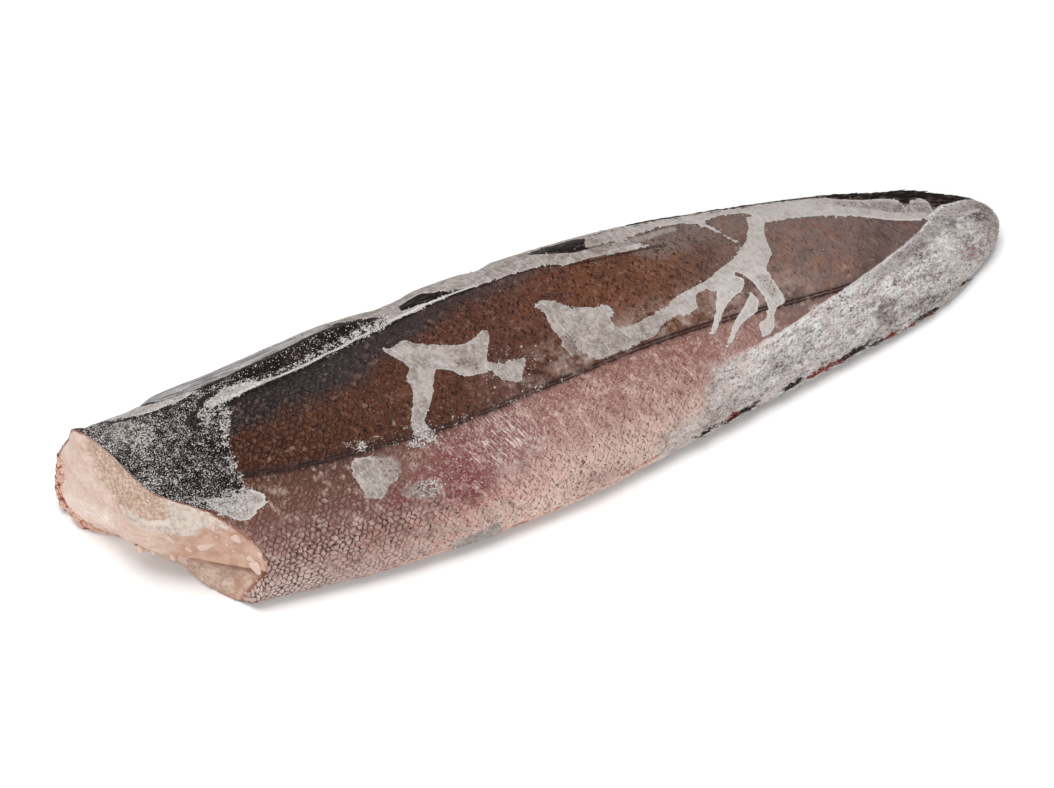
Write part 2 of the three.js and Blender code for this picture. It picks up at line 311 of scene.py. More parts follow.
# Marks on the cut, across the fish and up from the ground as at the nape.
GRANULAR_FLESH = [(24, 59), (22, 55), (17.5, 51), (13, 44), (7.6, 38), (1, 35), (-9, 38),
                  (-15.4, 40), (-17, 46.5), (-16, 53), (-8, 60), (6, 64), (20, 64)]
FROST_ON_CUT = [(-13, 55), (-19.4, 54), (-24, 48), (-25.5, 42), (-24, 37.8), (-21, 41.4),
                (-20.6, 36), (-19, 32.5), (-14, 34.5), (-10, 33.5), (-5, 35), (-1.5, 40),
                (-6.5, 39), (-11, 37.4), (-14, 40), (-15.6, 44)]
PALE_FLESH = [(29, 14), (24, 20), (12, 24), (3, 28), (2, 22), (10, 14), (18, 8), (26, 7)]
WET_FLAP = [(-10, 31), (-12.3, 31.5), (-16.8, 34), (-20, 33.4), (-21.2, 40), (-24.5, 42), (-29, 41),
            (-34, 37), (-38, 30), (-38, 22), (-34.8, 20.3), (-29, 18.4), (-24, 17.6), (-18, 17.6),
            (-13, 18.4), (-7, 20.5), (-6, 26)]
BARE_LOWER_FLAP = [(-30.1, 15.5), (-33.2, 16.5), (-35.2, 18), (-36.4, 13), (-36, 5), (-35, -3),
                   (-30.5, -3), (-31, 4), (-30.4, 11)]
FLAP_SKIN_BELOW, FLAP_SKIN_FROM = 21.0, 35.6
CRUST_AT_CUT = [(40, 36), (34, 33), (31, 26), (29, 17), (27, 10.5), (22, 9), (17, 8.5), (12, 4),
                (11, -4), (40, -4)]

# What counts as well outside a mark, in millimetres, and the most that a mark can say.
FAR_OUTSIDE = -9.0
LEAST_MARK, MOST_MARK = -60, 420


def smooth(stations, values, at):
    """A smooth curve through the values at the given stations."""
    stations = np.asarray(stations, float)
    values = np.asarray(values, float)
    slope = np.empty(len(stations))
    slope[1:-1] = (values[2:] - values[:-2]) / (stations[2:] - stations[:-2])
    slope[0] = (values[1] - values[0]) / (stations[1] - stations[0])
    slope[-1] = (values[-1] - values[-2]) / (stations[-1] - stations[-2])
    x = np.clip(at, stations[0], stations[-1])
    i = np.clip(np.searchsorted(stations, x, side="right") - 1, 0, len(stations) - 2)
    step = stations[i + 1] - stations[i]
    t = (x - stations[i]) / step
    rest = 1 - t
    return ((1 + 2 * t) * rest * rest * values[i] + t * rest * rest * step * slope[i]
            + t * t * (3 - 2 * t) * values[i + 1] - t * t * rest * step * slope[i + 1])


def ease(low, high, value):
    """Zero before low, one past high, and smooth between; low may be the higher."""
    t = np.clip((value - low) / (high - low), 0, 1)
    return t * t * (3 - 2 * t)


def skin_at(x, angle, raised=0.0):
    """Points of the skin: angle 0 is the back, a quarter turn the top, half a turn the belly."""
    belly = -smooth(STATIONS, BELLY_REACH, x)
    back = smooth(STATIONS, BACK_REACH, x)
    height = smooth(STATIONS, HEIGHT, x)
    width = back - belly
    c, s = np.cos(angle), np.sin(angle)
    above, behind = s >= 0, c >= 0
    roundness = np.where(above, np.where(behind, ROUND_SHOULDER, ROUND_FLANK),
                         np.where(behind, ROUND_UNDER_BACK, ROUND_UNDER_BELLY))
    crest = belly + np.where(above, CREST, 0.5) * width
    edge = height * np.where(behind, BACK_EDGE_HEIGHT, BELLY_EDGE_HEIGHT)
    y = crest + np.where(behind, back - crest, belly - crest) * np.abs(c) ** (2 / roundness)
    z = edge + np.where(above, height - edge, -edge - PRESSED_FLAT) * np.abs(s) ** (2 / roundness)
    middle_y = belly + width / 2
    middle_z = STUMP_HEART * height
    reach = np.hypot(y - middle_y, z - middle_z)
    y = y + raised * (y - middle_y) / reach
    z = np.maximum(z + raised * (z - middle_z) / reach, 0)
    end = np.clip((x - LENGTH + STUMP_DEPTH) / STUMP_DEPTH, 0, 1)
    shrink = (1 - end ** STUMP_BLUNTNESS) ** (1 / STUMP_BLUNTNESS)
    return x, middle_y + (y - middle_y) * shrink, middle_z + (z - middle_z) * shrink


def cut_setback(y, z):
    """How far behind the nape the head cut lies at a point of its face, slit and flaps included."""
    low = np.clip(1 - z / CUT_UNDERCUT_HEIGHT, 0, 1)
    tuck = smooth(TUCK_ACROSS, TUCK_SETBACK, y) * np.clip(1 - z / TUCK_HEIGHT, 0, 1)
    under = smooth(SLIT_ACROSS, SLIT_HEIGHT, y) - z
    groove = SLIT_DEPTH * np.exp(-(under / SLIT_WIDTH) ** 2) * ease(2, 14, -y)
    step = FLAP_STEP * ease(4, 16, -y) * ease(-0.4, 1.2, under)
    step = step * np.clip(1 - under / FLAP_STEP_HEIGHT, 0, 1)
    lip = LIP_HEIGHT * np.exp(-((under + LIP_ABOVE_SLIT) / LIP_WIDTH) ** 2) * ease(6, 20, -y)
    from_hollow_y = (y - BACK_HOLLOW_AT[0]) / BACK_HOLLOW_HALF[0]
    from_hollow_z = (z - BACK_HOLLOW_AT[1]) / BACK_HOLLOW_HALF[1]
    hollow = BACK_HOLLOW_DEPTH * np.exp(-from_hollow_y ** 2 - from_hollow_z ** 2)
    slanted = smooth(CUT_ACROSS, CUT_SETBACK, y) - CUT_UNDERCUT * low
    return slanted + tuck + groove + step - lip + hollow


def round_from_crest(x, angle):
    """Distance over the skin from the crest, plus towards the belly and the underside."""
    stations = np.linspace(FIRST_STATION, LENGTH - 1, STATION_COUNT)
    turns = np.linspace(-math.pi / 2, math.pi * 1.5, TURN_COUNT)
    table = np.empty((len(stations), len(turns)))
    for row, station in enumerate(stations):
        _, y, z = skin_at(np.full(len(turns), station), turns)
        run = np.concatenate([[0], np.cumsum(np.hypot(np.diff(y), np.diff(z)))])
        table[row] = run - np.interp(math.pi / 2, turns, run)
    u = np.clip((x - stations[0]) / (stations[1] - stations[0]), 0, len(stations) - 1.001)
    v = np.clip((angle - turns[0]) / (turns[1] - turns[0]), 0, len(turns) - 1.001)
    i, j = u.astype(int), v.astype(int)
    a, b = u - i, v - j
    return ((1 - a) * (1 - b) * table[i, j] + a * (1 - b) * table[i + 1, j]
            + (1 - a) * b * table[i, j + 1] + a * b * table[i + 1, j + 1])


def inside(outline, x, y):
    """Distance to an outline's edge, plus inside it and minus outside."""
    near = np.full(len(x), 1e9)
    odd = np.zeros(len(x), bool)
    for (ax, ay), (bx, by) in zip(outline, outline[1:] + outline[:1]):
        dx, dy = bx - ax, by - ay
        t = np.clip(((x - ax) * dx + (y - ay) * dy) / (dx * dx + dy * dy), 0, 1)
        near = np.minimum(near, np.hypot(x - ax - t * dx, y - ay - t * dy))
        if dy != 0:
            odd ^= ((ay > y) != (by > y)) & (x < dx * (y - ay) / dy + ax)
    return np.where(odd, near, -near)


def inside_any(outlines, x, y):
    return np.max([inside(outline, x, y) for outline in outlines.values()], axis=0)


def lumps(points, size, seed):
    """Smooth random numbers from minus one to one, about as wide as size."""
    shift = Vector((seed * 17.3, seed * 5.1, seed * 29.7))
    return np.array([noise.noise(Vector(p) / size + shift) for p in points])


trunk_shape = bmesh.new()
profile = [trunk_shape.verts.new((i / CUT_RINGS, i / CUT_RINGS, 0)) for i in range(CUT_RINGS + 1)]
profile += [trunk_shape.verts.new((1 + i / BODY_RINGS, 1, 0)) for i in range(1, BODY_RINGS + 1)]
profile += [trunk_shape.verts.new((2 + i / STUMP_RINGS, 1 - 0.5 * i / STUMP_RINGS, 0))
            for i in range(1, STUMP_RINGS)]
profile += [trunk_shape.verts.new((3, 0, 0))]
edges = [trunk_shape.edges.new(pair) for pair in zip(profile, profile[1:])]
bmesh.ops.spin(trunk_shape, geom=profile + edges, cent=(0, 0, 0), axis=(1, 0, 0), angle=math.tau,
               steps=COLUMNS, use_merge=True)
bmesh.ops.remove_doubles(trunk_shape, verts=trunk_shape.verts, dist=MERGE_DISTANCE)
bmesh.ops.recalc_face_normals(trunk_shape, faces=trunk_shape.faces)
trunk = make_piece("frozen_trunk", trunk_shape)
trunk_mesh = trunk.data

turned = np.empty(len(trunk_mesh.vertices) * 3)
trunk_mesh.vertices.foreach_get("co", turned)
turned = turned.reshape(-1, 3)
ring = turned[:, 0]
angle = np.mod(np.arctan2(turned[:, 2], turned[:, 1]), math.tau)
angle = np.where(angle > math.tau - 1e-6, 0, angle)

# The cut and its rim, then the body behind it, and the stump that rounds in at the end.
part = np.clip(ring, 0, 1)
on_cut = ring < 1 - 1e-6
_, square_y, square_z = skin_at(np.zeros(len(ring)), angle)
cut_y = CUT_HEART[0] + part * (square_y - CUT_HEART[0])
cut_z = CUT_HEART[1] + part * (square_z - CUT_HEART[1])
rim_x = cut_setback(square_y, square_z)
_, rim_y, rim_z = skin_at(rim_x, angle)
shoulder = LENGTH - STUMP_DEPTH
inset = np.sin(np.clip(ring - 2, 0, 1) * math.pi / 2) ** (2 / STUMP_BLUNTNESS)
behind_rim = np.clip(ring - 1, 0, 1) * (shoulder - rim_x) + STUMP_DEPTH * inset
along = np.where(on_cut, cut_setback(cut_y, cut_z) - CUT_BULGE * (1 - part ** 3),
                 rim_x + behind_rim)
before_rim = (1 - part) * np.hypot(rim_y - CUT_HEART[0], rim_z - CUT_HEART[1])
_, plain_y, plain_z = skin_at(along, angle)

# Where each point lies on the unrolled skin, and how far it is from each mark there.
signed_angle = np.where(angle > math.pi * 1.5 - 1e-4, angle - math.tau, angle)
unrolled_x = np.where(on_cut, rim_x - before_rim, along)
unrolled_y = round_from_crest(unrolled_x, signed_angle)
beneath = signed_angle > UNDERSIDE_FROM
spot = np.stack([along, plain_y, plain_z], axis=1)
broad = lumps(spot, 34, 1) + 0.5 * lumps(spot, 13, 2)
fine = lumps(spot, 4.5, 3)
tiny = lumps(spot, 2.2, 4)
stretched = lumps(spot * np.array([0.4, 1, 1]), 14, 5) + 0.4 * lumps(spot, 6, 6)
sheets = lumps(spot * np.array([0.3, 1, 1]) + 1.6 * broad[:, None], 21, 9)
sheets = sheets + 0.3 * stretched + 0.12 * tiny
seen = (signed_angle > BACK_HIDDEN_BELOW) & ~beneath & (unrolled_y > -24 + 7 * stretched)

from_line = unrolled_y - smooth(*LATERAL_LINE, along)
from_line = np.where(beneath, np.clip(-(plain_y + 8) * 1.2, -50, 58), np.clip(from_line, -58, 60))
from_line = np.where(signed_angle < 0, np.clip(-14 - 30 * (1 - plain_z / 18), -50, -14), from_line)
film = inside_any(ICE_FILMS, along, unrolled_y)
film = np.minimum(film, -inside_any(BARE_IN_FILMS, along, unrolled_y))
torn = inside_any({name: BARE_IN_FILMS[name] for name in TORN_PARTS}, along, unrolled_y)
hidden = {
    "film": (sheets + np.where(beneath, -0.10, 0.16)) * 12,
    "milky": (broad + 0.2) * 6,
    "thin": (fine + 0.7 * stretched - 0.1) * 8,
    "crumbly": (broad + 0.5 * fine - 0.35) * 9,
    "frosted": along - 338 + 16 * stretched,
    "speckled": 46 + 10 * stretched - along,
    "striped": np.full(len(ring), FAR_OUTSIDE),
    "torn": np.where(beneath, FAR_OUTSIDE,
                     3.5 - np.abs(plain_z - 0.42 * smooth(STATIONS, HEIGHT, along)) + 2 * fine)
    + FAR_OUTSIDE * (ease(60, 40, along) + ease(378, 392, along)),
    "sprinkled": (broad - 0.2) * 8,
    "crease": np.where(beneath, 60.0, -30.0),
    "seam": np.full(len(ring), FAR_OUTSIDE),
    "black_shreds": np.full(len(ring), FAR_OUTSIDE),
    "red_shreds": np.full(len(ring), FAR_OUTSIDE),
}


def near_shreds(shreds):
    """Plus inside any of the long thin shreds, in millimetres across them."""
    depths = []
    for x, y, half_length, half_width in shreds:
        off_middle = (unrolled_y - y + SHRED_SLANT * (along - x)) / half_width
        depths.append(half_width * (1 - np.hypot((along - x) / half_length, off_middle)))
    return np.max(depths, axis=0)


def spots(places):
    """The sum of soft spots at the given places."""
    total = np.zeros(len(along))
    for x, y, half_length, half_width, strength in places:
        from_middle = ((along - x) / half_length) ** 2 + ((unrolled_y - y) / half_width) ** 2
        total += strength * np.exp(-from_middle)
    return total


on_view = {
    "film": film,
    "milky": inside_any({name: ICE_FILMS[name] for name in MILKY_FILMS}, along, unrolled_y),
    "thin": inside_any(THIN_IN_FILMS, along, unrolled_y),
    "crumbly": inside_any(CRUMBLY_ICE, along, unrolled_y),
    "frosted": inside(FROSTED_TAIL, along, unrolled_y),
    "speckled": inside(SPECKLED_NAPE, along, unrolled_y),
    "striped": inside(STRIPED_FIN_BED, along, unrolled_y),
    "torn": torn,
    "sprinkled": inside_any(SPRINKLED, along, unrolled_y),
    "crease": unrolled_y - smooth(*NAPE_CREASE, along),
    "seam": -np.abs(unrolled_y - smooth(*BELLY_SEAM, along) + 0.8 * fine)
    + FAR_OUTSIDE * ease(264, 272, along),
    "black_shreds": near_shreds(BELLY_SHREDS["black"]),
    "red_shreds": near_shreds(BELLY_SHREDS["red"]),
}
marks = {name: np.where(seen, on_view[name], hidden[name]) for name in on_view}
marks["along"] = unrolled_x
marks["from_line"] = from_line
marks["slate"] = np.where(seen, smooth(*SLATE_EDGE, along) - unrolled_y, 4 + 10 * stretched)
marks["blush"] = np.where(seen, spots(BLUSHES), 0.3 * np.clip(stretched, 0, 1))
marks["inked"] = np.where(seen, spots(INK_BLOTS), 0.25)
marks["hoar"] = spots(HOAR_PATCH) * seen
marks["haze"] = spots(HAZE_PATCH) * seen
marks["stained"] = np.where(seen, spots(STAINS), 0.4 * np.clip(stretched, 0, 1))
marks["reddened"] = spots(RED_STAINS) * seen

# Marks of the cut.
beyond_flesh = np.where(cut_z < FLAP_SKIN_BELOW, cut_y + FLAP_SKIN_FROM, -FAR_OUTSIDE)
marks["flesh"] = np.where(on_cut, np.minimum(before_rim, beyond_flesh), -behind_rim)
marks["granular"] = np.where(on_cut, inside(GRANULAR_FLESH, cut_y, cut_z), FAR_OUTSIDE)
marks["cut_frost"] = np.where(on_cut, inside(FROST_ON_CUT, cut_y, cut_z), FAR_OUTSIDE)
marks["pale"] = np.where(on_cut, inside(PALE_FLESH, cut_y, cut_z), FAR_OUTSIDE)
wet = np.maximum(inside(WET_FLAP, cut_y, cut_z), inside(BARE_LOWER_FLAP, cut_y, cut_z))
marks["wet"] = np.where(on_cut, wet, FAR_OUTSIDE)
under_slit = smooth(SLIT_ACROSS, SLIT_HEIGHT, cut_y) - cut_z
toward_belly = ease(2, 10, -cut_y)
under_slit = under_slit * toward_belly - 3 * (1 - toward_belly)
marks["under_slit"] = np.where(on_cut, under_slit, FAR_OUTSIDE)
crust = inside(CRUST_AT_CUT, np.where(on_cut, cut_y, square_y), np.where(on_cut, cut_z, square_z))
marks["crust"] = np.where(behind_rim < 14, crust - 0.5 * behind_rim * ~on_cut, FAR_OUTSIDE)

# Small shapes of the frozen surface: dents, crusts, the fold over the shoulder, torn fins.
DENT_DEPTH, FOLD_HEIGHT, FOLD_GROOVE = 0.30, 0.9, 0.8
FILM_THICKNESS, CRUMB_THICKNESS, RIME_THICKNESS, CRUST_THICKNESS = 0.22, 0.15, 0.25, 0.7
SHRED_THICKNESS, SEAM_THICKNESS = 0.3, 0.2
RIM_LIP, RIM_LIP_AT, RIM_LIP_HALF = 1.3, 1.0, 0.14
HOLLOW_AT, HOLLOW_HALF = 0.78, 0.55

crease_depth = ease(42, 50, along) * (1 - ease(120, 175, along)) * seen
from_crease = unrolled_y - smooth(*NAPE_CREASE, along)
fold = (FOLD_HEIGHT * np.exp(-(from_crease / 1.3) ** 2)
        - FOLD_GROOVE * np.exp(-((from_crease + 3.2) / 2.0) ** 2)) * crease_depth
fin_folds = np.sin(unrolled_y * 2.6 + 1.5 * fine) * 0.35 + 0.3 * tiny
raised = DENT_DEPTH * broad + 0.10 * fine - fold
raised += smooth(*BACK_HOLLOWS, along) * np.exp(-((signed_angle - HOLLOW_AT) / HOLLOW_HALF) ** 2)
raised += ease(-0.4, 0.8, marks["film"]) * (FILM_THICKNESS + 0.12 * tiny)
raised -= 0.12 * ease(-1, 1, marks["thin"])
raised += ease(-1, 1.5, marks["crumbly"]) * (CRUMB_THICKNESS + 0.35 * tiny)
raised += ease(-0.6, 1.2, marks["frosted"]) * (RIME_THICKNESS + 0.22 * fine + 0.2 * tiny)
raised += ease(-1, 2, marks["speckled"]) * 0.16 * tiny
raised += ease(-0.5, 1.0, marks["torn"]) * (0.2 + fin_folds) * ease(230, 250, along)
shredded = np.maximum(marks["black_shreds"], marks["red_shreds"])
raised += ease(-0.5, 0.8, shredded) * (SHRED_THICKNESS + 0.7 * tiny)
raised += ease(-1.6, 0, marks["seam"]) * (SEAM_THICKNESS + 0.6 * tiny)
near_lip = np.exp(-((signed_angle - RIM_LIP_AT) / RIM_LIP_HALF) ** 2) * ease(6, 0, behind_rim)
raised += RIM_LIP * near_lip
raised += ease(-2, 1.5, marks["crust"]) * (CRUST_THICKNESS + 1.5 * fine + 0.9 * tiny)
raised = np.where((plain_z < 0.6) & beneath, np.minimum(raised, 0), raised)
skin_x, skin_y, skin_z = skin_at(along, angle, raised)
_, lifted_y, lifted_z = skin_at(rim_x, angle, raised)

place_on_cut = np.stack([along, cut_y, cut_z], axis=1)
grain = lumps(place_on_cut, 2.3, 7)
clots = lumps(place_on_cut, 5.5, 8)
toward_rim = ease(0, 0.06, 1 - part)
proud = 0.7 * clots * ease(1, -1, marks["wet"]) + 0.35 * grain * ease(1, -1, marks["wet"])
proud += ease(-1, 2, marks["granular"]) * (0.9 * grain + 0.8 * clots - 0.9)
proud += ease(-1.0, 0.8, marks["cut_frost"]) * (1.1 + 0.8 * clots + 0.5 * grain)
proud += ease(0, 3, marks["under_slit"]) * ease(0.5, -1, marks["wet"]) * 0.9 * grain
proud += ease(-2, 1.5, marks["crust"]) * (0.8 + 1.2 * clots + 0.6 * grain)
final_x = np.where(on_cut, along - proud * toward_rim, skin_x)
final_y = np.where(on_cut, CUT_HEART[0] + part * (lifted_y - CUT_HEART[0]), skin_y)
final_z = np.where(on_cut, CUT_HEART[1] + part * (lifted_z - CUT_HEART[1]), skin_z)
lean = ease(LENGTH - STUMP_LEAN_FROM, LENGTH, final_x) ** 1.5
final_x = final_x + STUMP_LEAN[0] * lean
final_y = final_y + STUMP_LEAN[1] * lean
placed = np.stack([final_x - CENTRE[0], final_y - CENTRE[1], np.maximum(final_z, 0)], axis=1) / 1000
trunk_mesh.vertices.foreach_set("co", placed.ravel())
trunk_mesh.update()
for name, values in marks.items():
    layer = trunk_mesh.attributes.new(name, "FLOAT", "POINT")
    layer.data.foreach_set("value", np.clip(values, LEAST_MARK, MOST_MARK).astype(np.float32))

# The unrolled skin as a map, 100 mm to the unit, with its seam under the fish.
MAP_UNIT = 100.0

corner = np.empty(len(trunk_mesh.loops), int)
trunk_mesh.loops.foreach_get("vertex_index", corner)
totals = np.empty(len(trunk_mesh.polygons), int)
trunk_mesh.polygons.foreach_get("loop_total", totals)
face_of = np.repeat(np.arange(len(totals)), totals)
furthest = np.full(len(totals), -math.tau)
np.maximum.at(furthest, face_of, signed_angle[corner])
across_seam = (furthest[face_of] > 3) & (signed_angle[corner] < 0)
half_turn = np.full(len(along), math.pi)
girth = round_from_crest(unrolled_x, half_turn * 1.5) - round_from_crest(unrolled_x, -half_turn / 2)
map_y = unrolled_y[corner] + np.where(across_seam, girth[corner], 0)
unrolled = trunk_mesh.uv_layers.new(name="unrolled")
map_places = np.stack([unrolled_x[corner], map_y], axis=1) / MAP_UNIT
unrolled.data.foreach_set("uv", map_places.ravel().astype(np.float32))
for face in trunk_mesh.polygons:
    face.use_smooth = True


class Strand:
    """One output of a shader node, so that sums of shades are written as sums."""

    def __init__(self, finish, socket):
        self.finish = finish
        self.socket = socket

    def maths(self, operation, first, second=0.0):
        return self.finish.node("ShaderNodeMath", {"operation": operation}, {0: first, 1: second})

    def __add__(self, other):
        return self.maths("ADD", self, other)

    def __radd__(self, other):
        return self.maths("ADD", other, self)

    def __sub__(self, other):
        return self.maths("SUBTRACT", self, other)

    def __rsub__(self, other):
        return self.maths("SUBTRACT", other, self)

    def __mul__(self, other):
        return self.maths("MULTIPLY", self, other)

    def __rmul__(self, other):
        return self.maths("MULTIPLY", other, self)

    def __truediv__(self, other):
        return self.maths("DIVIDE", self, other)

    def __abs__(self):
        return self.maths("ABSOLUTE", self)

    def most(self, other):
        return self.maths("MAXIMUM", self, other)

    def least(self, other):
        return self.maths("MINIMUM", self, other)

    def below(self, other):
        return self.maths("LESS_THAN", self, other)

    def fraction(self):
        return self.maths("FRACT", self)

    def ease(self, low, high):
        """Zero before low, one past high, and smooth between; low may be the higher."""
        return self.finish.node(
            "ShaderNodeMapRange", {"interpolation_type": "SMOOTHSTEP"},
            {"Value": self, "From Min": low, "From Max": high, "To Min": 0.0, "To Max": 1.0})


class Finish:
    """A material that is built from its nodes."""

    def __init__(self, name):
        self.material = bpy.data.materials.new(name)
        self.material.use_nodes = True
        self.tree = self.material.node_tree
        self.surface = self.tree.nodes["Principled BSDF"]
        self.object = self.node("ShaderNodeTexCoord", {}, {}, "Object")

    def set(self, socket, value):
        if isinstance(value, Strand):
            self.tree.links.new(value.socket, socket)
        else:
            socket.default_value = value

    def node(self, kind, settings, values, output=0):
        made = self.tree.nodes.new(kind)
        for name, value in settings.items():
            setattr(made, name, value)
        for name, value in values.items():
            self.set(made.inputs[name], value)
        return Strand(self, made.outputs[output])

    def mark(self, name):
        return self.node("ShaderNodeAttribute", {"attribute_name": name}, {}, "Fac")

    def part_of(self, vector, axis):
        return self.node("ShaderNodeSeparateXYZ", {}, {"Vector": vector}, axis)

    def mix(self, amount, first, second):
        """The second colour over the first, as much as amount says."""
        return self.node("ShaderNodeMix", {"data_type": "RGBA", "clamp_factor": True},
                         {0: amount, 6: first, 7: second}, 2)

    def moved(self, vector, scale=(1.0, 1.0, 1.0), turn=0.0, shift=(0.0, 0.0, 0.0)):
        return self.node("ShaderNodeMapping", {"vector_type": "POINT"},
                         {"Vector": vector, "Scale": scale,
                          "Rotation": (0.0, 0.0, math.radians(turn)),
                          "Location": shift})

    def grain(self, size, detail=2.0, roughness=0.55, vector=None, seed=0.0):
        """Soft noise about as coarse as size, in millimetres on the object."""
        scale = 1000 / size if vector is None else 1 / size
        spot = self.moved(self.object if vector is None else vector,
                          shift=(seed, seed * 0.7, seed * 1.3))
        return self.node("ShaderNodeTexNoise", {"noise_dimensions": "3D"},
                         {"Vector": spot, "Scale": scale, "Detail": detail, "Roughness": roughness},
                         "Fac")

    def ramp(self, amount, stops):
        """Colours along a number from 0 to 1."""
        made = self.node("ShaderNodeValToRGB", {}, {"Fac": amount}, "Color")
        elements = made.socket.node.color_ramp.elements
        elements.remove(elements[1])
        elements[0].position, elements[0].color = stops[0]
        for position, colour in stops[1:]:
            elements.new(position).color = colour
        return made


# The finish of the trunk: brown scaled skin that pales to pink at the belly, under
# ice films and frost, and the cream flesh where it was cut. Lengths are millimetres.
SCALE_PITCH, SCALE_ROWS = 2.7, 2.2
LINE_TO_BELLY = 60
BROWN_TO_TAIL = [
    (0.10, shade(66, 35, 22)), (0.30, shade(75, 41, 26)), (0.43, shade(83, 49, 38)),
    (0.53, shade(98, 60, 42)), (0.60, shade(104, 68, 51)), (0.66, shade(106, 80, 70)),
    (0.76, shade(120, 97, 90)), (0.86, shade(108, 88, 84)), (0.94, shade(84, 68, 66))]
SLATE_TO_TAIL = [
    (0.15, shade(40, 34, 36)), (0.30, shade(48, 42, 45)), (0.40, shade(62, 49, 48)),
    (0.52, shade(90, 68, 62)), (0.62, shade(116, 99, 93)), (0.80, shade(104, 90, 86))]
HEAD_TO_BELLY = [
    (0.00, shade(78, 51, 41)), (0.20, shade(96, 68, 58)), (0.40, shade(122, 91, 84)),
    (0.62, shade(160, 127, 118)), (0.80, shade(196, 171, 162))]
BODY_TO_BELLY = [
    (0.00, shade(128, 90, 82)), (0.15, shade(148, 110, 103)), (0.40, shade(176, 140, 133)),
    (0.60, shade(212, 182, 172)), (0.85, shade(232, 206, 192))]
RIME_BY_THICKNESS = [
    (0.36, shade(76, 62, 58)), (0.43, shade(124, 113, 109)), (0.50, shade(168, 160, 156)),
    (0.56, shade(192, 186, 183)), (0.61, shade(212, 208, 205)), (0.68, shade(232, 229, 227))]
CLOTTED_CRUST = [
    (0.40, shade(70, 44, 36)), (0.45, shade(160, 82, 66)), (0.50, shade(196, 150, 130)),
    (0.56, shade(222, 194, 176)), (0.64, shade(186, 112, 92))]
SKIN_ROUGHNESS, FLESH_ROUGHNESS, FROST_SHINE = 0.48, 0.52, 0.10
WET_COAT, WET_COAT_ROUGHNESS = 0.4, 0.16
BUMP_STRENGTH, BUMP_HEIGHT = 0.9, 0.001


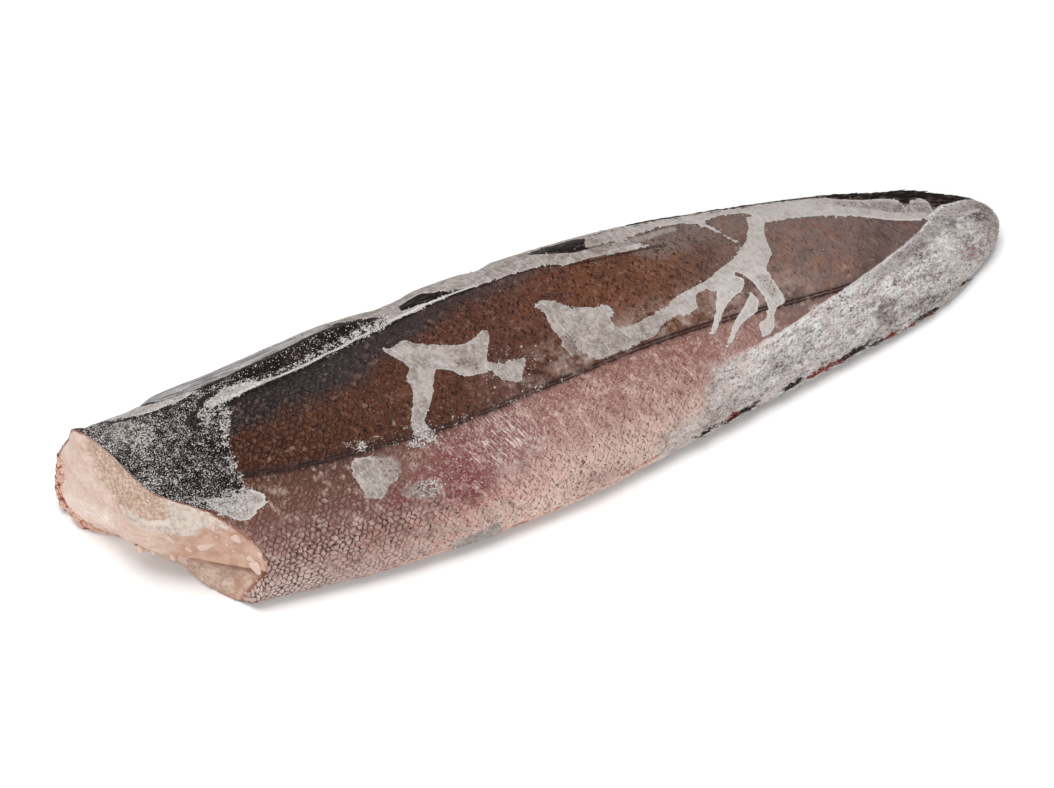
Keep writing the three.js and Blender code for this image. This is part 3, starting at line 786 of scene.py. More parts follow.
def make_trunk_finish():
    f = Finish("frozen_skin_and_flesh")
    along, line = f.mark("along"), f.mark("from_line")
    unrolled = f.moved(f.node("ShaderNodeUVMap", {"uv_map": "unrolled"}, {}),
                       (MAP_UNIT, MAP_UNIT, 1.0))

    def streaked(size, detail, roughness, turn, squeeze, seed):
        """Noise drawn out over the skin, in a direction turned from the fish's length."""
        drawn_out = f.moved(f.moved(unrolled, turn=turn), (squeeze, 1.0, 1.0))
        return f.grain(size, detail, roughness, drawn_out, seed)

    wide = f.grain(26, 3.0, 0.55)
    mid = f.grain(8, 3.0, 0.6, seed=3.1)
    small = f.grain(2.6, 3.0, 0.6, seed=1.7)
    dust = f.grain(0.9, 2.0, 0.6, seed=2.3)
    specks = f.grain(0.75, 1.0, 0.5, seed=7.7)

    # Colours of the bare skin above and below the lateral line.
    brown = f.ramp(along / LENGTH, BROWN_TO_TAIL)
    slate = f.ramp(along / LENGTH, SLATE_TO_TAIL)
    cloud = (f.mark("slate") + (wide - 0.5) * 16 + (mid - 0.5) * 14).ease(-4, 5)
    upper = f.mix(cloud, brown, slate)
    upper = f.mix((mid - 0.5).ease(0.0, 0.18) * (1 - cloud * 0.8) * 0.35, upper, shade(112, 67, 46))
    upper = f.mix((0.5 - wide).ease(0.0, 0.2) * 0.45, upper, shade(54, 34, 29))
    bare_tail = along.ease(250, 290)
    upper = f.mix((mid - 0.5).ease(-0.02, 0.14) * bare_tail * along.ease(345, 320) * 0.45, upper,
                  shade(124, 84, 68))
    upper = f.mix((0.5 - mid).ease(-0.02, 0.14) * bare_tail * 0.35, upper, shade(92, 78, 76))
    low_head = f.ramp(line / LINE_TO_BELLY, HEAD_TO_BELLY)
    low_body = f.ramp(line / LINE_TO_BELLY, BODY_TO_BELLY)
    low_head = f.mix(along.ease(80, 52) * line.ease(26, 6) * 0.6, low_head, shade(98, 68, 50))
    lower = f.mix((along + (wide - 0.5) * 70).ease(92, 172), low_head, low_body)
    lower = f.mix((along + (mid - 0.5) * 30).ease(268, 296), lower, shade(118, 94, 87))
    clots = streaked(5, 3.0, 0.65, turn=-60, squeeze=0.4, seed=19.0)
    clouds = (wide * 0.5 + mid * 0.5 - 0.5).ease(0.03, 0.2) * line.ease(2, 14)
    flush = f.mark("blush") * (0.6 + clots * 0.9) + clouds * 0.35
    lower = f.mix(flush * 0.85, lower, shade(116, 48, 55))
    ruddy = line.ease(26, 36) * along.ease(80, 110) * along.ease(195, 160)
    lower = f.mix((clots * 0.5 + mid * 0.5).ease(0.48, 0.58) * ruddy * 0.5, lower,
                  shade(196, 122, 110))
    lower = f.mix((0.5 - clots).ease(0.0, 0.2) * line.ease(0, 12) * 0.55, lower, shade(116, 78, 72))
    lower = f.mix((clots - 0.5).ease(0.02, 0.2) * line.ease(0, 12) * 0.5, lower,
                  shade(206, 180, 170))
    skin = f.mix((line + (small - 0.5) * 4).ease(-1.0, 2.4), upper, lower)
    skin = f.mix((small - 0.5).ease(0.02, 0.22) * 0.35, skin,
                 f.mix(line.ease(-1, 3), shade(128, 98, 84), shade(208, 184, 174)))
    skin = f.mix((0.5 - small).ease(0.02, 0.22) * 0.45, skin,
                 f.mix(line.ease(-1, 3), shade(46, 28, 22), shade(106, 72, 68)))

    # Scales in staggered rows: by the head, painted shade as dark crescents in the gaps on one side
    # of each scale, and a painted highlight on its centre; dark bows further on.
    sway = f.grain(7, 1.0, 0.5, seed=5.0) - 0.5
    jog = f.grain(2.2, 1.0, 0.5, seed=6.0) - 0.5
    place_x = f.part_of(unrolled, "X") / SCALE_PITCH + sway * 1.6 + jog * 1.2
    place_y = f.part_of(unrolled, "Y") / (2 * SCALE_ROWS) + sway * 0.7 - jog * 0.6
    flatten = (2 * SCALE_ROWS / SCALE_PITCH) ** 2
    first_x, first_y = place_x.fraction() - 0.5, place_y.fraction() - 0.5
    second_x, second_y = (place_x + 0.5).fraction() - 0.5, (place_y + 0.5).fraction() - 0.5
    first = first_x * first_x + first_y * first_y * flatten
    second = second_x * second_x + second_y * second_y * flatten
    far = first.least(second)
    tailward = second_x + (first_x - second_x) * first.below(second)
    rim = far.ease(0.12, 0.25)
    bow = far.ease(0.10, 0.16) * tailward.ease(0.10, 0.28)
    patchy = f.grain(7, 2.0, 0.6, seed=8.0)
    uneven = f.grain(2.4, 2.0, 0.6, seed=16.0)
    near_belly = line.ease(4, 22)
    near_head = along.ease(130, 45) + (along.ease(165, 80) - along.ease(130, 45)) * near_belly
    # Painted shade: dark crescents in the gaps by the head, heavier on one side of each scale, as
    # if the light fell from the other side.
    shaded_crescent = rim * (0.30 + tailward.ease(-0.10, 0.25) * 0.70)
    mottled = patchy * 0.5 + uneven * 0.5
    painted_scale_gap_shade = shaded_crescent * (near_head * 0.95 - near_belly * 0.12) * mottled.ease(0.34, 0.52)
    between = f.mix(along.ease(85, 120), shade(76, 49, 44), shade(124, 76, 67))
    skin = f.mix(painted_scale_gap_shade, skin, f.mix(line.ease(0, 16), shade(26, 12, 8), between))
    # Painted highlight: a light centre on each scale by the head.
    painted_crown_highlight = far.ease(0.09, 0.0) * near_head * mottled.ease(0.44, 0.64)
    skin = f.mix(painted_crown_highlight * 0.28, skin,
                 f.mix(line.ease(0, 16), shade(126, 88, 68), shade(190, 162, 152)))
    inked_bow = uneven + near_belly * 0.04 + along.ease(250, 180) * 0.03
    bows = bow * inked_bow.ease(0.48, 0.56) * (1 - near_head * 0.4)
    bows = bows * (0.4 + along.ease(290, 230) * 0.55)
    skin = f.mix(bows, skin, f.mix(line.ease(-2, 6), shade(22, 11, 8), shade(116, 70, 62)))
    flecks = streaked(1.2, 2.0, 0.6, turn=-75, squeeze=0.5, seed=25.0).ease(0.60, 0.66)
    skin = f.mix(flecks * (0.8 - near_head * 0.25) * (1 - bare_tail * 0.6), skin,
                 f.mix(line.ease(-2, 6), shade(30, 15, 11), shade(98, 62, 56)))
    blots = (patchy - 0.5) * 2.4 + (uneven - 0.5) * 2.6
    inked = f.mark("inked")
    ink = (rim * 0.45 + bow * 0.6) * (inked * 0.8 + blots * (0.35 + inked)).ease(0.10, 0.5)
    skin = f.mix(ink * 0.95, skin, shade(42, 27, 28))
    # Painted highlight: light centres on the scales inside the inked patches.
    skin = f.mix(far.ease(0.07, 0.0) * inked * 0.4, skin, shade(200, 188, 184))

    # Fine slanting streaks, rubbed spots, and small light specks painted as glints.
    slant = streaked(0.7, 4.0, 0.7, turn=-64, squeeze=0.22, seed=2.0)
    fresh = line.ease(0, 5) * along.ease(95, 130) * along.ease(300, 270)
    skin = f.mix(slant.ease(0.53, 0.66) * fresh * clots.ease(0.42, 0.60) * 0.55, skin,
                 shade(216, 199, 191))
    skin = f.mix(slant.ease(0.46, 0.36) * fresh * clots.ease(0.60, 0.46) * 0.5, skin,
                 shade(104, 66, 62))
    hairs = streaked(0.7, 2.0, 0.65, turn=48, squeeze=0.3, seed=3.0)
    skin = f.mix(hairs.ease(0.58, 0.68) * fresh * 0.28, skin, shade(214, 194, 184))
    skin = f.mix((dust - 0.5).ease(0.05, 0.2) * fresh * 0.4, skin, shade(222, 200, 190))
    skin = f.mix(slant.ease(0.50, 0.60) * f.mark("hoar") * 0.65, skin, shade(226, 214, 208))
    skin = f.mix(slant.ease(0.52, 0.64) * bare_tail * 0.35, skin, shade(150, 132, 126))
    commas = streaked(2.0, 2.0, 0.6, turn=-50, squeeze=0.45, seed=31.0)
    on_brown = line.ease(0, -6) * (1 - bare_tail)
    skin = f.mix(commas.ease(0.60, 0.66) * on_brown * 0.6, skin, shade(36, 18, 12))
    skin = f.mix(commas.ease(0.40, 0.33) * on_brown * (1 - cloud) * 0.22, skin, shade(138, 97, 76))
    dusty = line.ease(-22, -8) * line.ease(4, -2) * along.ease(140, 200) * along.ease(320, 290)
    skin = f.mix(dusty * (mid * 0.6 + small * 0.4).ease(0.40, 0.60) * 0.55, skin,
                 shade(166, 146, 137))
    worn = (0.08 + abs(line).ease(14, 3) * 0.35 + near_belly * 0.25) * (1 - near_head * 0.6)
    rubbed = (mid * 0.4 + small * 0.6).ease(0.55, 0.68) * worn
    skin = f.mix(rubbed, skin, shade(186, 168, 160))
    # Painted highlight: small light specks that stand for glints, more of them towards the belly.
    painted_glint = specks.ease(0.67, 0.74) * (0.1 + patchy * 0.25 + near_belly * 0.25)
    skin = f.mix(painted_glint, skin, shade(186, 172, 166))

    # The lateral line: two dark threads over a dusky band that is widest by the head.
    thread = abs(abs(line + (small - 0.5) * 1.4) - 0.65).ease(0.65, 0.15)
    thread = thread * f.grain(3.5, 2.0, 0.5, seed=9.0).ease(0.34, 0.48)
    dusky = abs(line + (mid - 0.5) * 2).ease(2.8, 0.4) * (0.4 + along.ease(125, 60) * 0.4)
    skin = f.mix(dusky, skin, shade(50, 36, 36))
    skin = f.mix(thread * 0.9, skin, shade(40, 27, 26))

    # Painted shade along the crease under the stiff frosted fold of the nape and under the lower
    # edge of the ice film along the back: a soft dark band and a dark line. Then the skin seam of
    # the belly.
    off_crease = f.mark("crease")
    crease = abs(off_crease + (small - 0.5) * 0.8)
    folded = along.ease(41, 45) * along.ease(253, 249)
    # Painted shade: a soft dark band, then a darker thin line, where the fold and the film edge
    # shade the skin.
    skin = f.mix(crease.ease(3.4, 0.4) * along.ease(175, 110) * folded * 0.6, skin,
                 shade(34, 27, 27))
    skin = f.mix(crease.ease(0.9, 0.3) * folded * (0.95 - along.ease(130, 200) * 0.35), skin,
                 shade(20, 14, 14))
    seam = (f.mark("seam") + (small - 0.5) * 2).ease(-1.5, -0.3)
    skin = f.mix(seam * 0.85, skin,
                 f.mix(mid.ease(0.45, 0.55), shade(158, 106, 80), shade(216, 186, 168)))

    # The dark nape, salted with frost.
    speckled = (f.mark("speckled") + (small - 0.5) * 1.6).ease(-0.3, 0.4)
    veil = (mid * 0.5 + wide * 0.5).ease(0.42, 0.62)
    nape = f.mix(veil, shade(20, 8, 8), shade(37, 25, 24))
    nape = f.mix(f.mark("haze") * (0.2 + small * 0.45), nape, shade(150, 143, 141))
    salt = f.grain(0.46, 2.0, 0.75, seed=4.0) + (small - 0.5) * 0.28 + (mid - 0.5) * 0.22
    salt = salt - along.ease(54, 68) * 0.10 - along.ease(20, 44) * line.ease(-40, -22) * 0.03
    salt = salt.ease(0.532, 0.566)
    nape = f.mix(salt * 0.92, nape,
                 f.mix(specks.ease(0.40, 0.56), shade(134, 125, 123), shade(232, 229, 227)))
    skin = f.mix(speckled, skin, nape)

    # Folded rays of the first back fin, and the black shreds of the second.
    streaks = f.grain(1.0, 3.0, 0.6, f.moved(unrolled, (0.08, 0.8, 1.0)), 6.0)
    bed = f.mix(streaks.ease(0.38, 0.62), shade(118, 112, 113), shade(182, 178, 178))
    skin = f.mix((f.mark("striped") + (small - 0.5) * 1.2).ease(-0.5, 0.6), skin, bed)
    shred = f.grain(1.3, 3.0, 0.6, f.moved(unrolled, (0.25, 1.0, 1.0)), 7.0)
    black = f.mix(shred.ease(0.50, 0.68), shade(22, 15, 14), shade(80, 66, 60))
    torn = (f.mark("torn") + (small - 0.5) * 4.0 + (dust - 0.5) * 2.0).ease(-0.3, 0.4)
    skin = f.mix(torn, skin, black)

    # Ice films: milky and fibrous, thin in places and frayed along parts of their edge.
    frayed = f.grain(11, 1.0, 0.5, seed=12.0).ease(0.42, 0.60)
    milky = f.mark("milky").ease(-1.5, 0.5)
    ragged = frayed * (1 - milky * 0.8)
    film_depth = f.mark("film") + (small - 0.5) * (1.0 + ragged * 3.4)
    film_depth = film_depth + (dust - 0.5) * (0.6 + ragged * 1.6)
    film = film_depth.ease(-0.15, 0.2)
    fibre = streaked(0.9, 3.0, 0.7, turn=-66, squeeze=0.3, seed=13.0)
    vein = f.grain(6.5, 3.0, 0.6, f.moved(unrolled, (0.7, 1.0, 1.0), 30), 14.0)
    cloudy = (mid * 0.5 + small * 0.5).ease(0.38, 0.62)
    ice = f.mix(cloudy, shade(130, 119, 114), shade(168, 158, 153))
    ice = f.mix(along.ease(225, 260) * 0.5, ice, shade(190, 184, 180))
    ice = f.mix(milky * (0.15 + small.ease(0.35, 0.55) * 0.35), ice, shade(200, 194, 190))
    ice = f.mix((wide - 0.5).ease(0.0, 0.18) * 0.35, ice, shade(188, 181, 178))
    ice = f.mix(f.mark("thin").ease(-1.0, 1.0) * along.ease(330, 345) * 0.35, ice,
                shade(126, 118, 113))
    ice = f.mix(fibre.ease(0.52, 0.68) * 0.6, ice, shade(200, 195, 193))
    ice = f.mix(fibre.ease(0.44, 0.32) * 0.45, ice, shade(126, 114, 109))
    ice = f.mix(abs(vein - 0.5).ease(0.03, 0.0) * 0.45, ice, shade(194, 188, 185))
    ice = f.mix(abs(vein - 0.42).ease(0.02, 0.0) * 0.4, ice, shade(124, 108, 101))
    crisp = milky.most(along.ease(325, 340))
    ice = f.mix(film_depth.ease(0.6 + crisp * 0.6, 0.15) * film * (0.4 + crisp * 0.4), ice,
                shade(200, 195, 192))
    sheer = (f.mark("thin") + (small - 0.5) * 2).ease(-0.6, 0.8)
    cover = film * (0.96 - sheer * 0.40 * small.ease(0.35, 0.6))
    skin = f.mix(cover.most(sheer * 0.45), skin, ice)

    # A thin white hem of ice runs along the crease.
    hem = abs(off_crease + 1.1 + (dust - 0.5) * 0.5).ease(0.48, 0.22)
    hem = hem * along.ease(46, 54) * along.ease(176, 164)
    skin = f.mix(hem * 0.9, skin, shade(198, 193, 190))

    # Crumbs of frost: dense where the ice is crumbly, and a thin sprinkling elsewhere.
    crumbly = f.mark("crumbly") + (mid - 0.5) * 4
    heap = crumbly.ease(-1.6, 0.8)
    crumbs = (specks * 0.5 + small * 0.5 + heap * 0.10).ease(0.57, 0.61) * crumbly.ease(-2.4, -0.4)
    sprinkled = (f.mark("sprinkled") + (mid - 0.5) * 8).ease(-2.5, 2.0)
    stray = (specks * 0.6 + small * 0.4).ease(0.60, 0.64) * sprinkled
    crumbs = crumbs.most(stray * 0.9)
    skin = f.mix(crumbs * 0.95, skin,
                 f.mix(dust.ease(0.4, 0.6), shade(160, 151, 146), shade(200, 195, 192)))
    pepper = f.grain(0.9, 1.0, 0.5, seed=15.0).ease(0.60, 0.66)
    pepper = pepper * crumbly.ease(-0.8, 0.6).most(sheer * film)
    skin = f.mix(pepper * 0.75, skin, shade(58, 42, 38))

    # Rime over the tail, grainy and patchy, with the skin showing through where it is thin.
    fade = along.ease(280, 240)
    edge_of_rime = f.mark("frosted") + (small - 0.5) * (1.6 + fade * 12) + (mid - 0.5) * fade * 24
    frosted = edge_of_rime.ease(-0.3 - fade * 3, 0.5 + fade * 5)
    grains = f.grain(1.1, 5.0, 0.8, seed=22.0)
    brushed = streaked(1.8, 4.0, 0.75, turn=22, squeeze=0.35, seed=2.0)
    patches = streaked(12, 2.0, 0.5, turn=22, squeeze=0.4, seed=21.0)
    clumps = streaked(4, 3.0, 0.65, turn=22, squeeze=0.5, seed=28.0)
    thick = grains * 0.85 + brushed * 0.5 + clumps * 0.38 + patches * 0.34 - 0.475
    thick = thick + along.ease(362, 384) * 0.05 - along.ease(390, 404) * 0.06
    rime = f.ramp(thick, RIME_BY_THICKNESS)
    bits = streaked(1.3, 3.0, 0.7, turn=22, squeeze=0.6, seed=27.0)
    rime = f.mix((bits - (patches - 0.5) * 0.3).ease(0.385, 0.36) * 0.85, rime, shade(78, 64, 60))
    rosy = (patches * 0.4 + mid * 0.6).ease(0.50, 0.60)
    rime = f.mix(rosy * 0.30, rime, shade(196, 168, 160))
    strip = edge_of_rime.ease(0.8, 1.8) * edge_of_rime.ease(7.0, 5.0) * along.ease(318, 345)
    rime = f.mix(strip * 0.5, rime, shade(132, 123, 119))
    bright_edge = edge_of_rime.ease(1.0, 0.4) * along.ease(262, 285) * along.ease(364, 352)
    stained = f.mark("stained") * (brushed * 0.5 + clumps * 0.5).ease(0.62, 0.46)
    reddened = f.mark("reddened") * (brushed * 0.6 + small * 0.4).ease(0.49, 0.55)
    flecked = (grains * 0.5 + brushed * 0.5).ease(0.55, 0.60) * along.ease(366, 380)
    rime = f.mix(bright_edge * 0.8, rime, shade(206, 201, 198))
    rime = f.mix(stained * 0.8, rime, shade(92, 76, 76))
    rime = f.mix(reddened * 0.8, rime, shade(124, 78, 70))
    rime = f.mix(flecked * 0.7, rime, shade(92, 74, 70))
    skin = f.mix(frosted * (0.96 - fade * 0.22), skin, rime)
    stubs = (f.mark("black_shreds") + (small - 0.5) * 5).ease(-0.3, 0.6) * small.ease(0.34, 0.46)
    raw = (f.mark("red_shreds") + (small - 0.5) * 5).ease(-0.3, 0.6) * dust.ease(0.36, 0.50)
    skin = f.mix(stubs, skin, shade(38, 27, 25))
    skin = f.mix(raw, skin, shade(128, 30, 28))

    # The cut: pinkish flesh, a crumbling band along the skin, frost, wet belly flaps, and painted
    # shadow on the lower flap under the slit.
    meat = f.mark("flesh")
    crumb = f.grain(1.5, 3.0, 0.65, seed=11.0)
    striae = f.grain(1.0, 3.0, 0.6, f.moved(f.object, (140.0, 500.0, 900.0), 0.0), 18.0)
    slanted = f.grain(1.0, 3.0, 0.6, f.moved(f.object, (200.0, 300.0, 900.0), 35.0), 33.0)
    flesh = f.mix(mid.ease(0.35, 0.65), shade(220, 196, 182), shade(206, 177, 161))
    flesh = f.mix(striae.ease(0.5, 0.66) * 0.5, flesh, shade(228, 211, 201))
    flesh = f.mix((small - 0.5).ease(0.04, 0.2) * 0.4, flesh, shade(194, 160, 142))
    flesh = f.mix(f.mark("pale").ease(-4, 3) * 0.72, flesh,
                  f.mix(slanted.ease(0.46, 0.62), shade(222, 200, 188), shade(242, 227, 219)))
    grit = f.mix(crumb.ease(0.40, 0.60), shade(164, 132, 110), shade(203, 181, 164))
    grit = f.mix(crumb.ease(0.58, 0.70) * 0.8, grit, shade(232, 220, 210))
    grit = f.mix(specks.ease(0.62, 0.70) * 0.5, grit, shade(146, 104, 78))
    flesh = f.mix((f.mark("granular") + (mid - 0.5) * 16).ease(-4, 4) * 0.8, flesh, grit)
    wet = (f.mark("wet") + (small - 0.5) * 1.5).ease(-0.8, 0.8)
    smeared = (mid * 0.75 + striae * 0.25).ease(0.38, 0.62)
    slick = f.mix(smeared, shade(176, 134, 112), shade(198, 164, 145))
    toward_back = (f.part_of(f.object, "Y") * 1000).ease(-20, -11)
    slick = f.mix(toward_back * 0.8, slick,
                  f.mix(slanted.ease(0.44, 0.60), shade(202, 172, 155), shade(220, 197, 184)))
    flesh = f.mix(wet, flesh, slick)
    under_slit = f.mark("under_slit")
    lower_flap = under_slit.ease(0.0, 1.2)
    crumbled = (crumb * 0.4 + mid * 0.6).ease(0.42, 0.60)
    flesh = f.mix(lower_flap * (1 - wet * 0.3) * 0.75, flesh,
                  f.mix(crumbled, shade(152, 116, 96), shade(204, 182, 167)))
    # Painted shadow: the lower flap darkened under the slit where the upper flap overhangs it,
    # darkest at the slit itself.
    flesh = f.mix(under_slit.ease(-0.5, 0.6) * under_slit.ease(4.0, 1.0) * 0.7, flesh,
                  shade(150, 104, 84))
    flesh = f.mix(under_slit.ease(-0.2, 0.3) * under_slit.ease(1.6, 0.8) * 0.7, flesh,
                  shade(96, 54, 40))
    icy = (f.mark("cut_frost") + (small - 0.5) * 5 + (mid - 0.5) * 5).ease(-0.5, 0.6)
    iced = (crumb * 0.3 + small * 0.4 + mid * 0.3).ease(0.38, 0.56)
    flesh = f.mix(icy, flesh, f.mix(iced, shade(180, 159, 144), shade(216, 202, 191)))
    flesh = f.mix(meat.ease(1.6, 0.3) * small.ease(0.36, 0.50) * (1 - icy) * 0.85, flesh,
                  shade(128, 68, 52))
    crust = (f.mark("crust") + (mid - 0.5) * 14 + (small - 0.5) * 4).ease(-0.8, 1.2)
    clot = f.ramp(small * 0.7 + mid * 0.3, CLOTTED_CRUST)
    is_flesh = (meat + (small - 0.5) * 1.2).ease(-0.5, 0.2)
    colour = f.mix(is_flesh, skin, flesh)
    colour = f.mix(crust, colour, clot)

    relief = (1 - rim) * (0.08 + near_head * 0.30) * (1 - film) * (1 - frosted) * (1 - speckled)
    relief = relief + small * 0.14 + dust * 0.06
    relief = relief + film * (0.22 + fibre * 0.16 + abs(vein - 0.5).ease(0.05, 0.0) * 0.10)
    relief = relief + frosted * (brushed * 0.45 + grains * 0.5)
    relief = relief + speckled * salt * 0.2 + crumbs * 0.3
    relief = relief * (1 - is_flesh) + is_flesh * (crumb * (0.5 - wet * 0.42) + 0.3 + icy * 0.2)
    bump = f.node("ShaderNodeBump", {},
                  {"Strength": BUMP_STRENGTH, "Distance": BUMP_HEIGHT, "Height": relief},
                  "Normal")
    rough = SKIN_ROUGHNESS + small * 0.12 + frosted * 0.22 + speckled * 0.16 + film * 0.08
    rough = rough * (1 - is_flesh) + is_flesh * (FLESH_ROUGHNESS - wet * 0.28)
    f.set(f.surface.inputs["Base Color"], colour)
    f.set(f.surface.inputs["Roughness"], rough)
    f.set(f.surface.inputs["Coat Weight"], is_flesh * wet * WET_COAT)
    f.set(f.surface.inputs["Normal"], bump)
    f.surface.inputs["Specular IOR Level"].default_value = FROST_SHINE
    f.surface.inputs["Coat Roughness"].default_value = WET_COAT_ROUGHNESS
    return f.material


trunk_mesh.materials.append(make_trunk_finish())
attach(trunk, "root")
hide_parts("hake")


# Frost crystals: loose rime on the nape, the crumbly ice, the edges of the films and
# the tail. Each is a tiny clear grain that froze fast to the skin.
CRYSTAL_COUNT, CRYSTAL_SEED = 8000, 11
CRYSTAL_SIZES, CRYSTAL_STRETCH = (0.12, 0.32), (0.6, 1.3)
CRYSTAL_SUNK, CRYSTAL_PROUD, CRYSTAL_ASIDE = -0.05, 0.16, 0.45
OFF_TABLE = 0.05

outward = np.empty(len(trunk_mesh.vertices) * 3)
trunk_mesh.vertex_normals.foreach_get("vector", outward)
outward = outward.reshape(-1, 3)
draw = np.random.default_rng(CRYSTAL_SEED)
chance = (ease(-0.5, 1.5, marks["speckled"]) * 1.2 + ease(-2, 0.5, marks["crumbly"]) * 1.6
          + ease(-2, 2, marks["sprinkled"]) * 0.18 + ease(0, 2, marks["frosted"]) * 0.36
          + np.exp(-(marks["film"] / 0.9) ** 2) * 0.3 + 0.003
          + ease(-0.5, 1, marks["cut_frost"]) * 0.5)
chance = np.where(on_cut & (marks["cut_frost"] < -0.5), 0.02, chance)
chance = chance * ease(-0.2, 0.6, placed[:, 2] * 1000)
picks = draw.choice(len(chance), CRYSTAL_COUNT, p=chance / chance.sum())
grain_shape = bmesh.new()
bmesh.ops.create_icosphere(grain_shape, subdivisions=1, radius=1.0)
grain_points = np.array([v.co[:] for v in grain_shape.verts])
grain_faces = np.array([[v.index for v in face.verts] for face in grain_shape.faces])
grain_shape.free()
sizes = draw.uniform(*CRYSTAL_SIZES, (CRYSTAL_COUNT, 1))
sizes = sizes * draw.uniform(*CRYSTAL_STRETCH, (CRYSTAL_COUNT, 3))
turns, _ = np.linalg.qr(draw.normal(size=(CRYSTAL_COUNT, 3, 3)))
turns[:, :, 0] *= np.sign(np.linalg.det(turns))[:, None]
aside = np.cross(draw.normal(size=(CRYSTAL_COUNT, 3)), outward[picks]) * CRYSTAL_ASIDE
lifted = draw.uniform(CRYSTAL_SUNK, CRYSTAL_PROUD, (CRYSTAL_COUNT, 1))
middles = placed[picks] * 1000 + aside + outward[picks] * lifted
points = np.einsum("nij,nkj->nki", turns, grain_points[None] * sizes[:, None]) + middles[:, None]
points[..., 2] = np.maximum(points[..., 2], OFF_TABLE)
faces = grain_faces[None] + (np.arange(CRYSTAL_COUNT) * len(grain_points))[:, None, None]
crystal_mesh = bpy.data.meshes.new("frost_crystals")
crystal_mesh.from_pydata((points.reshape(-1, 3) / 1000).tolist(), [], faces.reshape(-1, 3).tolist())
crystals = bpy.data.objects.new("frost_crystals", crystal_mesh)
bpy.context.collection.objects.link(crystals)
frost = Finish("clear_frost")
frost.set(frost.surface.inputs["Base Color"], frost.mix(
    frost.grain(3.0, 2.0, 0.6).ease(0.35, 0.65), shade(168, 160, 156), shade(216, 212, 210)))
frost.surface.inputs["Roughness"].default_value = 0.35
crystal_mesh.materials.append(frost.material)
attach(crystals, "root")


# Ice drops: meltwater that froze again in smooth beads on the cut and along its lower
# skin edge. Each is a flat clear bead, long, round or three-lobed.
ICE_DROPS = [
    (-15.6, 30.4, 3.3, 1.2, 32, 0), (-27.6, 36.6, 2.4, 2.0, 20, 0.12),
    (-21.8, 27.6, 4.0, 1.7, -28, 0.14), (-22.1, 39.8, 0.9, 0.7, 0, 0),
    (-23.9, 35.2, 0.6, 0.5, 0, 0), (-26.4, 32.1, 0.8, 0.7, 30, 0),
    (-28.1, 28.8, 0.7, 0.5, 0, 0), (-27.3, 20.2, 0.9, 0.7, 10, 0),
    (-30.3, 27.1, 0.6, 0.5, 0, 0), (-23.4, 42.0, 2.4, 1.8, 60, 0.10),
    (-34.4, 23.4, 3.4, 2.5, 50, 0.14), (-32.2, 26.6, 2.0, 1.5, 10, 0.12),
    (-18.9, 24.2, 1.6, 0.8, 15, 0), (-12.6, 27.6, 1.9, 0.8, 25, 0),
    (-34.2, 31.0, 1.7, 1.3, 70, 0.12), (-10.2, 24.6, 1.1, 0.7, 0, 0),
]
DROP_FLATNESS = 0.30

cut_points = np.where(on_cut)[0]


def nearest_on_cut(across, height):
    """The point of the cut closest to a place on it."""
    spread = (cut_y[cut_points] - across) ** 2 + (cut_z[cut_points] - height) ** 2
    return cut_points[np.argmin(spread)]


def smooth_piece(name, shape):
    """A piece whose shape looks round, with its faces outwards."""
    for face in shape.faces:
        face.smooth = True
    bmesh.ops.recalc_face_normals(shape, faces=shape.faces)
    return make_piece(name, shape)


def plain_finish(name, colour, roughness, shine=0.5):
    """One colour and one gloss all over."""
    made = Finish(name)
    made.surface.inputs["Base Color"].default_value = colour
    made.surface.inputs["Roughness"].default_value = roughness
    made.surface.inputs["Specular IOR Level"].default_value = shine
    return made.material


drop_shape = bmesh.new()
for across, height, half_length, half_width, turn, lobes in ICE_DROPS:
    nearest = nearest_on_cut(across, height)
    normal = Vector(outward[nearest])
    lengthwise = Vector((0, -math.cos(math.radians(turn)), -math.sin(math.radians(turn))))
    lengthwise = (lengthwise - normal * lengthwise.dot(normal)).normalized()
    made = bmesh.ops.create_icosphere(drop_shape, subdivisions=3, radius=1.0)["verts"]
    for vert in made:
        x, y, z = vert.co
        swell = 1 + lobes * math.cos(3 * math.atan2(y, x)) * math.hypot(x, y)
        bead = lengthwise * (x * swell * half_length)
        bead = bead + normal.cross(lengthwise) * (y * swell * half_width)
        bead = bead + normal * (z * half_width * DROP_FLATNESS)
        vert.co = Vector(placed[nearest]) + bead / 1000
drops = smooth_piece("ice_drops", drop_shape)
drops.data.materials.append(plain_finish("clear_ice", shade(208, 181, 166), roughness=0.12))
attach(drops, "root")


# Drips of flesh: three soft tags that hang from the edge of the upper belly flap, left
# by the knife and frozen there.
FLESH_DRIPS = [(-8.4, 19.6, 1.5, 3.3), (-10.8, 19.2, 1.0, 2.2), (-14.4, 18.4, 1.4, 3.8)]
DRIP_TAPER, DRIP_FORWARD, DRIP_HANG = 0.25, 1.3, 2.8

drip_shape = bmesh.new()
for across, height, half_width, half_length in FLESH_DRIPS:
    nearest = nearest_on_cut(across, height)
    made = bmesh.ops.create_uvsphere(drip_shape, u_segments=24, v_segments=16, radius=1.0)["verts"]
    for vert in made:
        x, y, z = vert.co
        taper = half_width * (1 + DRIP_TAPER * z)
        hung = Vector((x * taper - DRIP_FORWARD, y * taper, z * half_length - DRIP_HANG))
        vert.co = Vector(placed[nearest]) + hung / 1000
drips = smooth_piece("flesh_drips", drip_shape)
drips.data.materials.append(plain_finish("soft_flesh", shade(214, 180, 162), roughness=0.35))
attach(drips, "root")


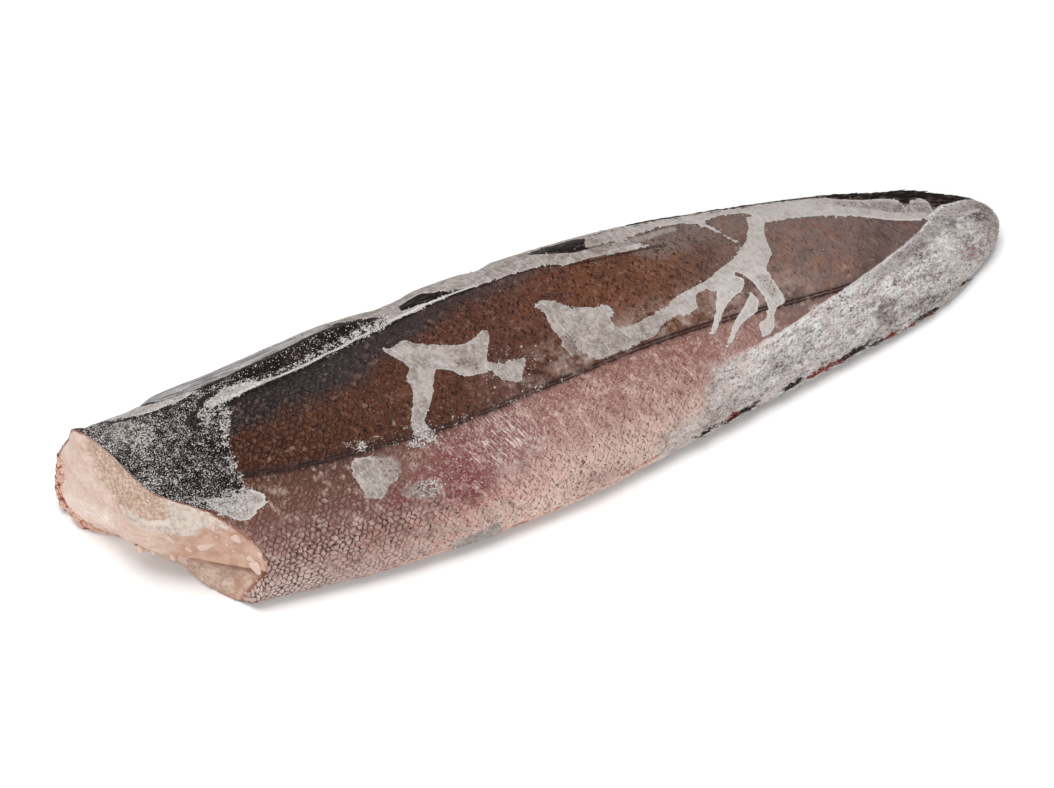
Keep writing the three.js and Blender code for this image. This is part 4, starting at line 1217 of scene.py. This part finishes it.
# Back-fin remains: the second back fin was torn off short, and its black ray stubs
# froze flat against the back, pointing to the tail.
RAY_PARTS = [(226, 334, 30, 0.5), (332, 352, 26, 0.8), (350, 390, 60, 0.85), (386, 402, 12, 0.6)]
RAY_LENGTHS = (3.0, 7.5)
RAY_HALF_WIDTH = 0.75
RAY_SIDES, RAY_TIP, RAY_FLATNESS, RAY_ROOT = 7, 0.3, 0.5, 0.8
RAY_ROW, RAY_ROW_SLOPE, RAY_ROW_FROM = -9.5, 0.04, 334

body_points = np.where(~on_cut)[0]


def lay_ray(shape, at_along, at_round, length, half_width, lift, sideways):
    """Adds a flat tapering ray that starts in the skin and points to the tail."""
    spread = (along[body_points] - at_along) ** 2 + (unrolled_y[body_points] - at_round) ** 2
    nearest = body_points[np.argmin(spread)]
    normal = Vector(outward[nearest])
    run = Vector((1, 0, 0)) + normal.cross(Vector((1, 0, 0))) * sideways + normal * lift
    run = (run - normal * (run.dot(normal) - lift)).normalized()
    made = bmesh.ops.create_cone(shape, cap_ends=True, cap_tris=True, segments=RAY_SIDES,
                                 radius1=half_width, radius2=half_width * RAY_TIP,
                                 depth=1.0)["verts"]
    width = normal.cross(run).normalized()
    for vert in made:
        x, y, z = vert.co
        bead = width * x + run.cross(width) * (y * RAY_FLATNESS)
        bead = bead + run * ((z + 0.5) * length - RAY_ROOT)
        vert.co = Vector(placed[nearest]) + bead / 1000


ray_shape = bmesh.new()
for start, end, count, size in RAY_PARTS:
    for at in np.linspace(start, end, count) + draw.normal(0, 0.8, count):
        row = RAY_ROW + RAY_ROW_SLOPE * (at - RAY_ROW_FROM)
        lay_ray(ray_shape, at, row + draw.normal(0, 1.2 * size),
                length=draw.uniform(*RAY_LENGTHS) * size,
                half_width=RAY_HALF_WIDTH * size * draw.uniform(0.8, 1.3),
                lift=draw.uniform(-0.08, 0.0), sideways=draw.normal(0, 0.05))
bmesh.ops.recalc_face_normals(ray_shape, faces=ray_shape.faces)
rays = make_piece("back_fin_rays", ray_shape)
dark_fin = Finish("dark_fin")
dark_fin.set(dark_fin.surface.inputs["Base Color"], dark_fin.mix(
    dark_fin.grain(2.0, 2.0, 0.6).ease(0.5, 0.68), shade(26, 19, 17), shade(96, 84, 78)))
dark_fin.surface.inputs["Roughness"].default_value = 0.55
dark_fin.surface.inputs["Specular IOR Level"].default_value = 0.2
rays.data.materials.append(dark_fin.material)
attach(rays, "root")


# Belly-fin shreds: black ray stubs and red torn flesh along the lower edge, where the
# fin under the tail was cut away. Both froze flat, pointing to the tail.
SHRED_COLOURS = {"black": shade(34, 25, 23), "red": shade(122, 30, 28)}
SHREDS_PER_MM = 2.2

for tone, shreds in BELLY_SHREDS.items():
    shred_shape = bmesh.new()
    for x, y, half_length, half_width in shreds:
        for _ in range(int(half_length * SHREDS_PER_MM)):
            at = x + draw.uniform(-1, 1) * half_length
            row = y - SHRED_SLANT * (at - x)
            lay_ray(shred_shape, at, row + draw.uniform(-0.8, 1.2) * half_width,
                    length=draw.uniform(1.6, 4.0), half_width=draw.uniform(0.25, 0.45),
                    lift=draw.uniform(0.05, 0.3), sideways=draw.normal(0, 0.25))
    bmesh.ops.recalc_face_normals(shred_shape, faces=shred_shape.faces)
    shred_piece = make_piece("belly_fin_shreds_" + tone, shred_shape)
    shred_piece.data.materials.append(
        plain_finish(tone + "_shreds", SHRED_COLOURS[tone], roughness=0.5, shine=0.25))
    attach(shred_piece, "root")
